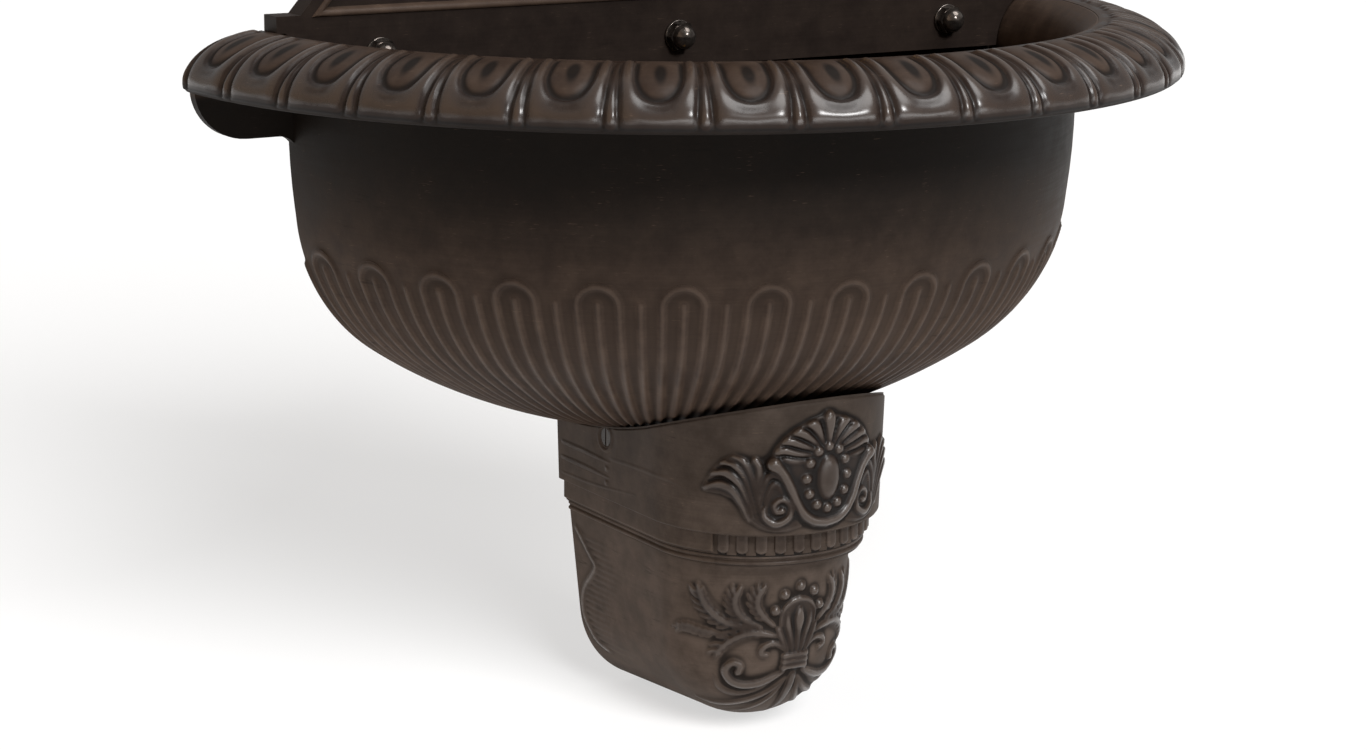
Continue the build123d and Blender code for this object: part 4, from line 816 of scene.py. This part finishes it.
def corbel_frieze():
    plan = CorbelPlan(330, 120, FRIEZE_CENTRE)
    top = scribed_top(plan)
    share = np.linspace(0, 1, 150)[:, None]
    z = top[None, :] + (FRIEZE_LOW - FRIEZE_LAP - top[None, :]) * share
    width = frieze_width(z)
    run = plan.run(width)
    carving = Carving(run, z)
    frieze_ornament(carving)
    carving.height = soften(carving.height, 1)
    wear_and_painted_light = wear_of(carving.height, 4, 0.6)
    # Painted highlight: the frieze's lower edge made lighter and glossier.
    wear_and_painted_light = wear_and_painted_light + 0.7 * np.clip(1 - (1 - share) * 50, 0, 1)
    gloss = np.clip(soften(carving.height, 1) / 1.1, 0, 1)
    roll = np.minimum(share * FRIEZE_TALL, (1 - share) * FRIEZE_TALL)
    edge = -1.5 * np.clip(1 - roll / 2.0, 0, 1) ** 2
    screw = np.hypot(np.abs(run) - SCREW_RUN, z - SCREW_Z)
    dish = 0.7 * np.exp(-(((screw - 6.7) / 0.75) ** 2)) - 0.62 * np.clip((13.0 - screw) / 6.0, 0, 1)
    edge = np.minimum(edge, dish - 0.7 * np.clip((5.7 - screw) / 0.6, 0, 1))
    front = plan.face(width + FRIEZE_OUT + carving.height + edge, z)
    picks = np.linspace(0, len(share) - 1, 6).astype(int)
    back = plan.face(width[picks] - CAST_ROOT, z[picks])
    return cast_skin("corbel_frieze", front, back, wear_and_painted_light, gloss, corbel_patina)


def foot_section(count, out, lift):
    """Half widths, heights and lean of the foot's face from the fillet down, its lowest point lifted."""
    flat_low = FOOT_BOTTOM + lift + FOOT_R * (1 - math.sin(FOOT_DRAFT))
    flat_x = FOOT_R * math.cos(FOOT_DRAFT)
    flank_z = np.linspace(FILLET_LOW, flat_low, count // 2, endpoint=False)
    turn = np.linspace(FOOT_DRAFT, FOOT_LAST_TURN, count - count // 2)
    width = np.concatenate([flat_x + (flank_z - flat_low) * math.sin(FOOT_DRAFT), FOOT_R * np.cos(turn)])
    z = np.concatenate([flank_z, FOOT_BOTTOM + lift + FOOT_R * (1 - np.sin(turn))])
    lean = np.concatenate([np.full(len(flank_z), FOOT_DRAFT), turn])
    return (width + out * np.cos(lean))[:, None], (z - out * np.sin(lean))[:, None], lean[:, None]


def foot_face(plan, count, out):
    """The foot's section at each place: lifted round the front, falling along the flanks to the wall."""
    nose_width, nose_z, lean = foot_section(count, out, KEEL_RISE)
    wall_width, wall_z, _ = foot_section(count, out, 0.0)
    ahead, back = 1 - plan.back, plan.back
    return nose_width * ahead + wall_width * back, nose_z * ahead + wall_z * back, lean


def corbel_foot():
    plan = CorbelPlan(330, 80, FOOT_CENTRE)
    width, z, lean = foot_face(plan, 180, FOOT_OUT)
    carving = Carving(plan.run(width), z)
    foot_ornament(carving)
    carving.height = soften(carving.height * np.clip((1.3 - lean) / 0.5, 0, 1), 1)
    wear_and_painted_light = wear_of(carving.height, 4, 0.6)
    gloss = np.clip(soften(carving.height, 1) / 1.2, 0, 1)
    high = np.maximum(z - carving.height * np.sin(lean), FOOT_BOTTOM)
    front = plan.face(width + carving.height * np.cos(lean), high)
    inner, inner_z, _ = foot_face(plan, 14, -CAST_ROOT)
    return cast_skin("corbel_foot", front, plan.face(inner, inner_z), wear_and_painted_light, gloss, corbel_patina)


# Course between frieze and foot
BAR_PITCH, BARS, BAR_HALF, BAR_RISE = 9.3, 11, 3.3, 2.1
COURSE_INSET, COURSE_LAP, FILLET_LAP, FILLET_ROOT = 0.6, 1.0, 1.2, 3.0
FILLET_LINES, FILLET_LINE_HALF, FILLET_LINE_RISE = (4.0, 1.2), 1.25, 1.5


def corbel_course():
    """Fluted bars round the front between frieze and foot, with a double line below."""
    plan = CorbelPlan(400, 30, COURSE_CENTRE)
    top, bottom = FRIEZE_LOW + COURSE_LAP, FILLET_LOW - FILLET_LAP
    bar_low, step = COURSE_LOW + 0.6, COURSE_LOW - 0.6
    level = np.concatenate([np.linspace(top, step, 30), np.linspace(step - 0.3, bottom, 22)])[:, None]
    width = np.where(level >= step, COURSE_X, FILLET_X) - COURSE_INSET
    run = plan.run(COURSE_X)
    across = (np.mod(run / BAR_PITCH + 0.5, 1.0) - 0.5) * BAR_PITCH
    plain = np.abs(run) > BAR_PITCH * BARS / 2
    low = np.clip(bar_low + BAR_HALF * 0.8 - level, 0, None) * 1.25
    spread = np.where(low > 0, np.hypot(across, low), np.abs(across))
    bar = BAR_RISE * np.clip(1 - (spread / BAR_HALF) ** 4, 0, 1) ** 0.5
    band = BAR_RISE * np.clip((level - bar_low) / 1.2, 0, 1) ** 0.5
    height = np.where(level >= step, np.where(plain, band, bar), 0)
    for line in FILLET_LINES:
        ridge = rounded(level - (FILLET_LOW + line), FILLET_LINE_HALF, FILLET_LINE_RISE)
        height = np.maximum(height, np.where(level < step, ridge, 0))
    wear_and_painted_light = wear_of(height, 3, 1.0)
    gloss = np.where(plain, 0.0, 0.5) * np.ones_like(height)
    front = plan.face(width + height, level)
    inner = np.full((2, len(run)), FILLET_X - FILLET_ROOT)
    back = plan.face(inner, np.array([[top], [bottom]]))
    return cast_skin("corbel_course", front, back, wear_and_painted_light, gloss, corbel_patina)


# Back plate: bead on the inner edge of the raised border
BEAD_LOW, BEAD_INSET = 8.8, 6.2
SWEEP_X, SWEEP_Z, SWEEP_R = 407.68, 189.26, 270.0
JAMB_X, SHELF_X, SHELF_Z, ARCH_R = 137.68, 118.08, 236.0, 118.08
BEAD_SECTION = [
    (-1.4, -13.7), (-1.1, -14.7), (-0.3, -15.2), (0.7, -15.1), (1.7, -14.4), (2.4, -12.6), (2.8, -10.3),
]
BEAD_ROOT = [(-0.9, -13.0), (2.4, -9.9)]


def bead_line():
    """Middle of the bead, round the panel from its foot, as x and z."""
    sweep_r = SWEEP_R + BEAD_INSET
    low = math.pi + math.asin((SWEEP_Z - BEAD_LOW) / sweep_r)
    sweep = np.linspace(low, math.pi, 34)
    corner = np.linspace(-math.pi / 2, -math.pi, 8)
    arch = np.linspace(0, math.pi / 2, 40)
    foot = np.linspace(0, SWEEP_X + sweep_r * math.cos(low), 30, endpoint=False)
    arch_r = ARCH_R - BEAD_INSET
    right = np.concatenate([
        np.stack([foot, np.full(len(foot), BEAD_LOW)], -1),
        np.stack([SWEEP_X + sweep_r * np.cos(sweep), SWEEP_Z + sweep_r * np.sin(sweep)], -1),
        [(JAMB_X - BEAD_INSET, SHELF_Z - BEAD_INSET)],
        np.stack([SHELF_X + BEAD_INSET * np.cos(corner), SHELF_Z + BEAD_INSET * np.sin(corner)], -1),
        np.stack([arch_r * np.cos(arch), SHELF_Z + arch_r * np.sin(arch)], -1)[1:],
    ])
    return np.concatenate([right, right[-2:0:-1] * (-1, 1), right[:1]])


def plate_bead():
    line = bead_line()
    edges = np.diff(line, axis=0)
    edges /= np.linalg.norm(edges, axis=1)[:, None]
    inward = np.stack([-edges[:, 1], edges[:, 0]], -1)
    before = np.roll(inward, 1, axis=0)
    mitre = (inward + before) / (1 + (inward * before).sum(1))[:, None]
    mitre = np.concatenate([mitre, mitre[:1]])

    def laid(section):
        inset, y = np.array(section).T
        flat = line[None] + mitre[None] * inset[:, None, None]
        return np.stack([flat[..., 0], np.broadcast_to(y[:, None], flat.shape[:2]), flat[..., 1]], -1)

    # The bead takes the lighter basin finish and is marked lighter and glossier all along: polish, and in
    # part a painted highlight on the bevel.
    front = laid(BEAD_SECTION)
    wear_and_painted_light = np.full(front.shape[:2], 0.6)
    return cast_skin("plate_bead", front, laid(BEAD_ROOT), wear_and_painted_light, 0.2 * wear_and_painted_light, bronze_patina)


ornament = [egg_and_dart_rim(), corbel_frieze(), corbel_course(), corbel_foot()]
fluted_bowl()
plate_bead()


# Floor, light and camera
MIRRORED_GROUND, LAMP_STAND = 0.3, 2.6
PHOTO_WIDTH, FOCAL_PIXELS, FILM_WIDTH = 1367, 3205.332, 36.0
CAMERA_PLACE = Vector((-0.8368, -1.390181, 0.173662))


def shown(finish):
    """1 for rays from the camera and those passed on to it, less for those mirrored."""
    kinds = ("Camera", "Transmission", "Glossy")
    rays = [finish.node("LightPath", {}, {}, "Is %s Ray" % kind) for kind in kinds]
    return (rays[0] + rays[1] + rays[2] * MIRRORED_GROUND).held()


def studio():
    bpy.ops.object.select_all(action="DESELECT")
    bpy.ops.mesh.primitive_plane_add(size=60, location=(0, 0, FLOOR_Z * MM))
    floor = bpy.context.object
    floor.name = "floor"
    paint = Finish.named("floor_white")
    haze = paint.noise(paint.place(), 1.5, 3.0)
    seen = shown(paint)
    grey = paint.blend(haze, (0.38, 0.38, 0.38, 1), (0.40, 0.40, 0.40, 1))
    colour = paint.blend(seen, (0.8, 0.8, 0.8, 1), grey)
    glow = paint.blend(seen, (0, 0, 0, 1), (0.6, 0.6, 0.6, 1))
    dress(floor, paint.coat(colour=colour, rough=0.9, specular=0.1, glow=glow, glow_strength=1.0))

    world = bpy.data.worlds.new("studio_white")
    bpy.context.scene.world = world
    sky = Finish(world)
    sky.tree.nodes.clear()
    ahead = sky.node("TexCoord", {}, {}, "Generated")
    up = sky.node("SeparateXYZ", {}, {0: ahead}, "Z")
    left = sky.node("SeparateXYZ", {}, {0: ahead}, "X") * -1.0
    side = left.between(0.1, 0.95)
    glow = 0.05 + up.between(0.2, 0.9) * 0.2 + side * 0.36
    plain = shown(sky)
    tint = sky.blend(side, (1, 1, 1, 1), (1.0, 0.70, 0.44, 1))
    colour = sky.blend(plain, tint, (1, 1, 1, 1))
    light = sky.node("Background", {}, {"Color": colour, "Strength": glow + plain * (1.0 - glow)})
    sky.node("OutputWorld", {}, {"Surface": light}, None)

    sun = bpy.data.lights.new("overhead_sun", "SUN")
    sun.energy = 1.7
    sun.angle = math.radians(40)
    hang(sun, Vector((0, 0, 3)), Vector((-0.25, 0.35, -0.9)), [floor], "EXCLUDE")
    softbox = bpy.data.lights.new("softbox", "AREA")
    softbox.energy = 33.0
    softbox.size = 0.45
    aim = Vector((0.07, -0.83, 0.55))
    hang(softbox, Vector((0, -0.12, -0.15)) + LAMP_STAND * aim, -aim, [floor], "EXCLUDE")
    card = bpy.data.lights.new("front_card", "AREA")
    card.shape = "RECTANGLE"
    card.size, card.size_y = 3.6, 0.4
    card.energy = 24.0
    aim = Vector((0.0, -1.0, 0.05))
    hang(card, Vector((0, -0.12, 0.0)) + LAMP_STAND * aim, -aim, ornament, "INCLUDE")
    floor_sun = bpy.data.lights.new("floor_sun", "SUN")
    floor_sun.energy = 5.2
    floor_sun.angle = math.radians(30)
    hang(floor_sun, Vector((0, -2, 2)), Vector((0.066, 0.84, -0.545)), [floor], "INCLUDE")


def hang(lamp, place, aim, pieces, falls):
    """A lamp on its stand, and whether its light falls on the given pieces alone or on all but these."""
    stand = bpy.data.objects.new(lamp.name, lamp)
    bpy.context.scene.collection.objects.link(stand)
    stand.location = place
    stand.rotation_euler = aim.to_track_quat("-Z", "Y").to_euler()
    lit = bpy.data.collections.new(lamp.name + "_pieces")
    for piece in pieces:
        lit.objects.link(piece)
    for linked in lit.collection_objects:
        linked.light_linking.link_state = falls
    stand.light_linking.receiver_collection = lit


def photo_camera():
    yaw, pitch, roll = 0.549, 0.22, 0.009
    ahead = Vector((math.sin(yaw) * math.cos(pitch), math.cos(yaw) * math.cos(pitch), -math.sin(pitch)))
    right = Vector((math.cos(yaw), -math.sin(yaw), 0))
    up = right.cross(ahead)
    tilt_x = right * math.cos(roll) + up * math.sin(roll)
    tilt_y = up * math.cos(roll) - right * math.sin(roll)
    lens = bpy.data.cameras.new("photo_camera")
    lens.sensor_fit = "HORIZONTAL"
    lens.sensor_width = FILM_WIDTH
    lens.lens = FOCAL_PIXELS * FILM_WIDTH / PHOTO_WIDTH
    lens.clip_start, lens.clip_end = 0.05, 200
    camera = bpy.data.objects.new("photo_camera", lens)
    bpy.context.scene.collection.objects.link(camera)
    place = Matrix((tilt_x, tilt_y, -ahead)).transposed().to_4x4()
    place.translation = CAMERA_PLACE
    camera.matrix_world = place
    bpy.context.scene.camera = camera


studio()
photo_camera()
bpy.context.scene.view_settings.view_transform = "Standard"
bpy.context.view_layer.update()
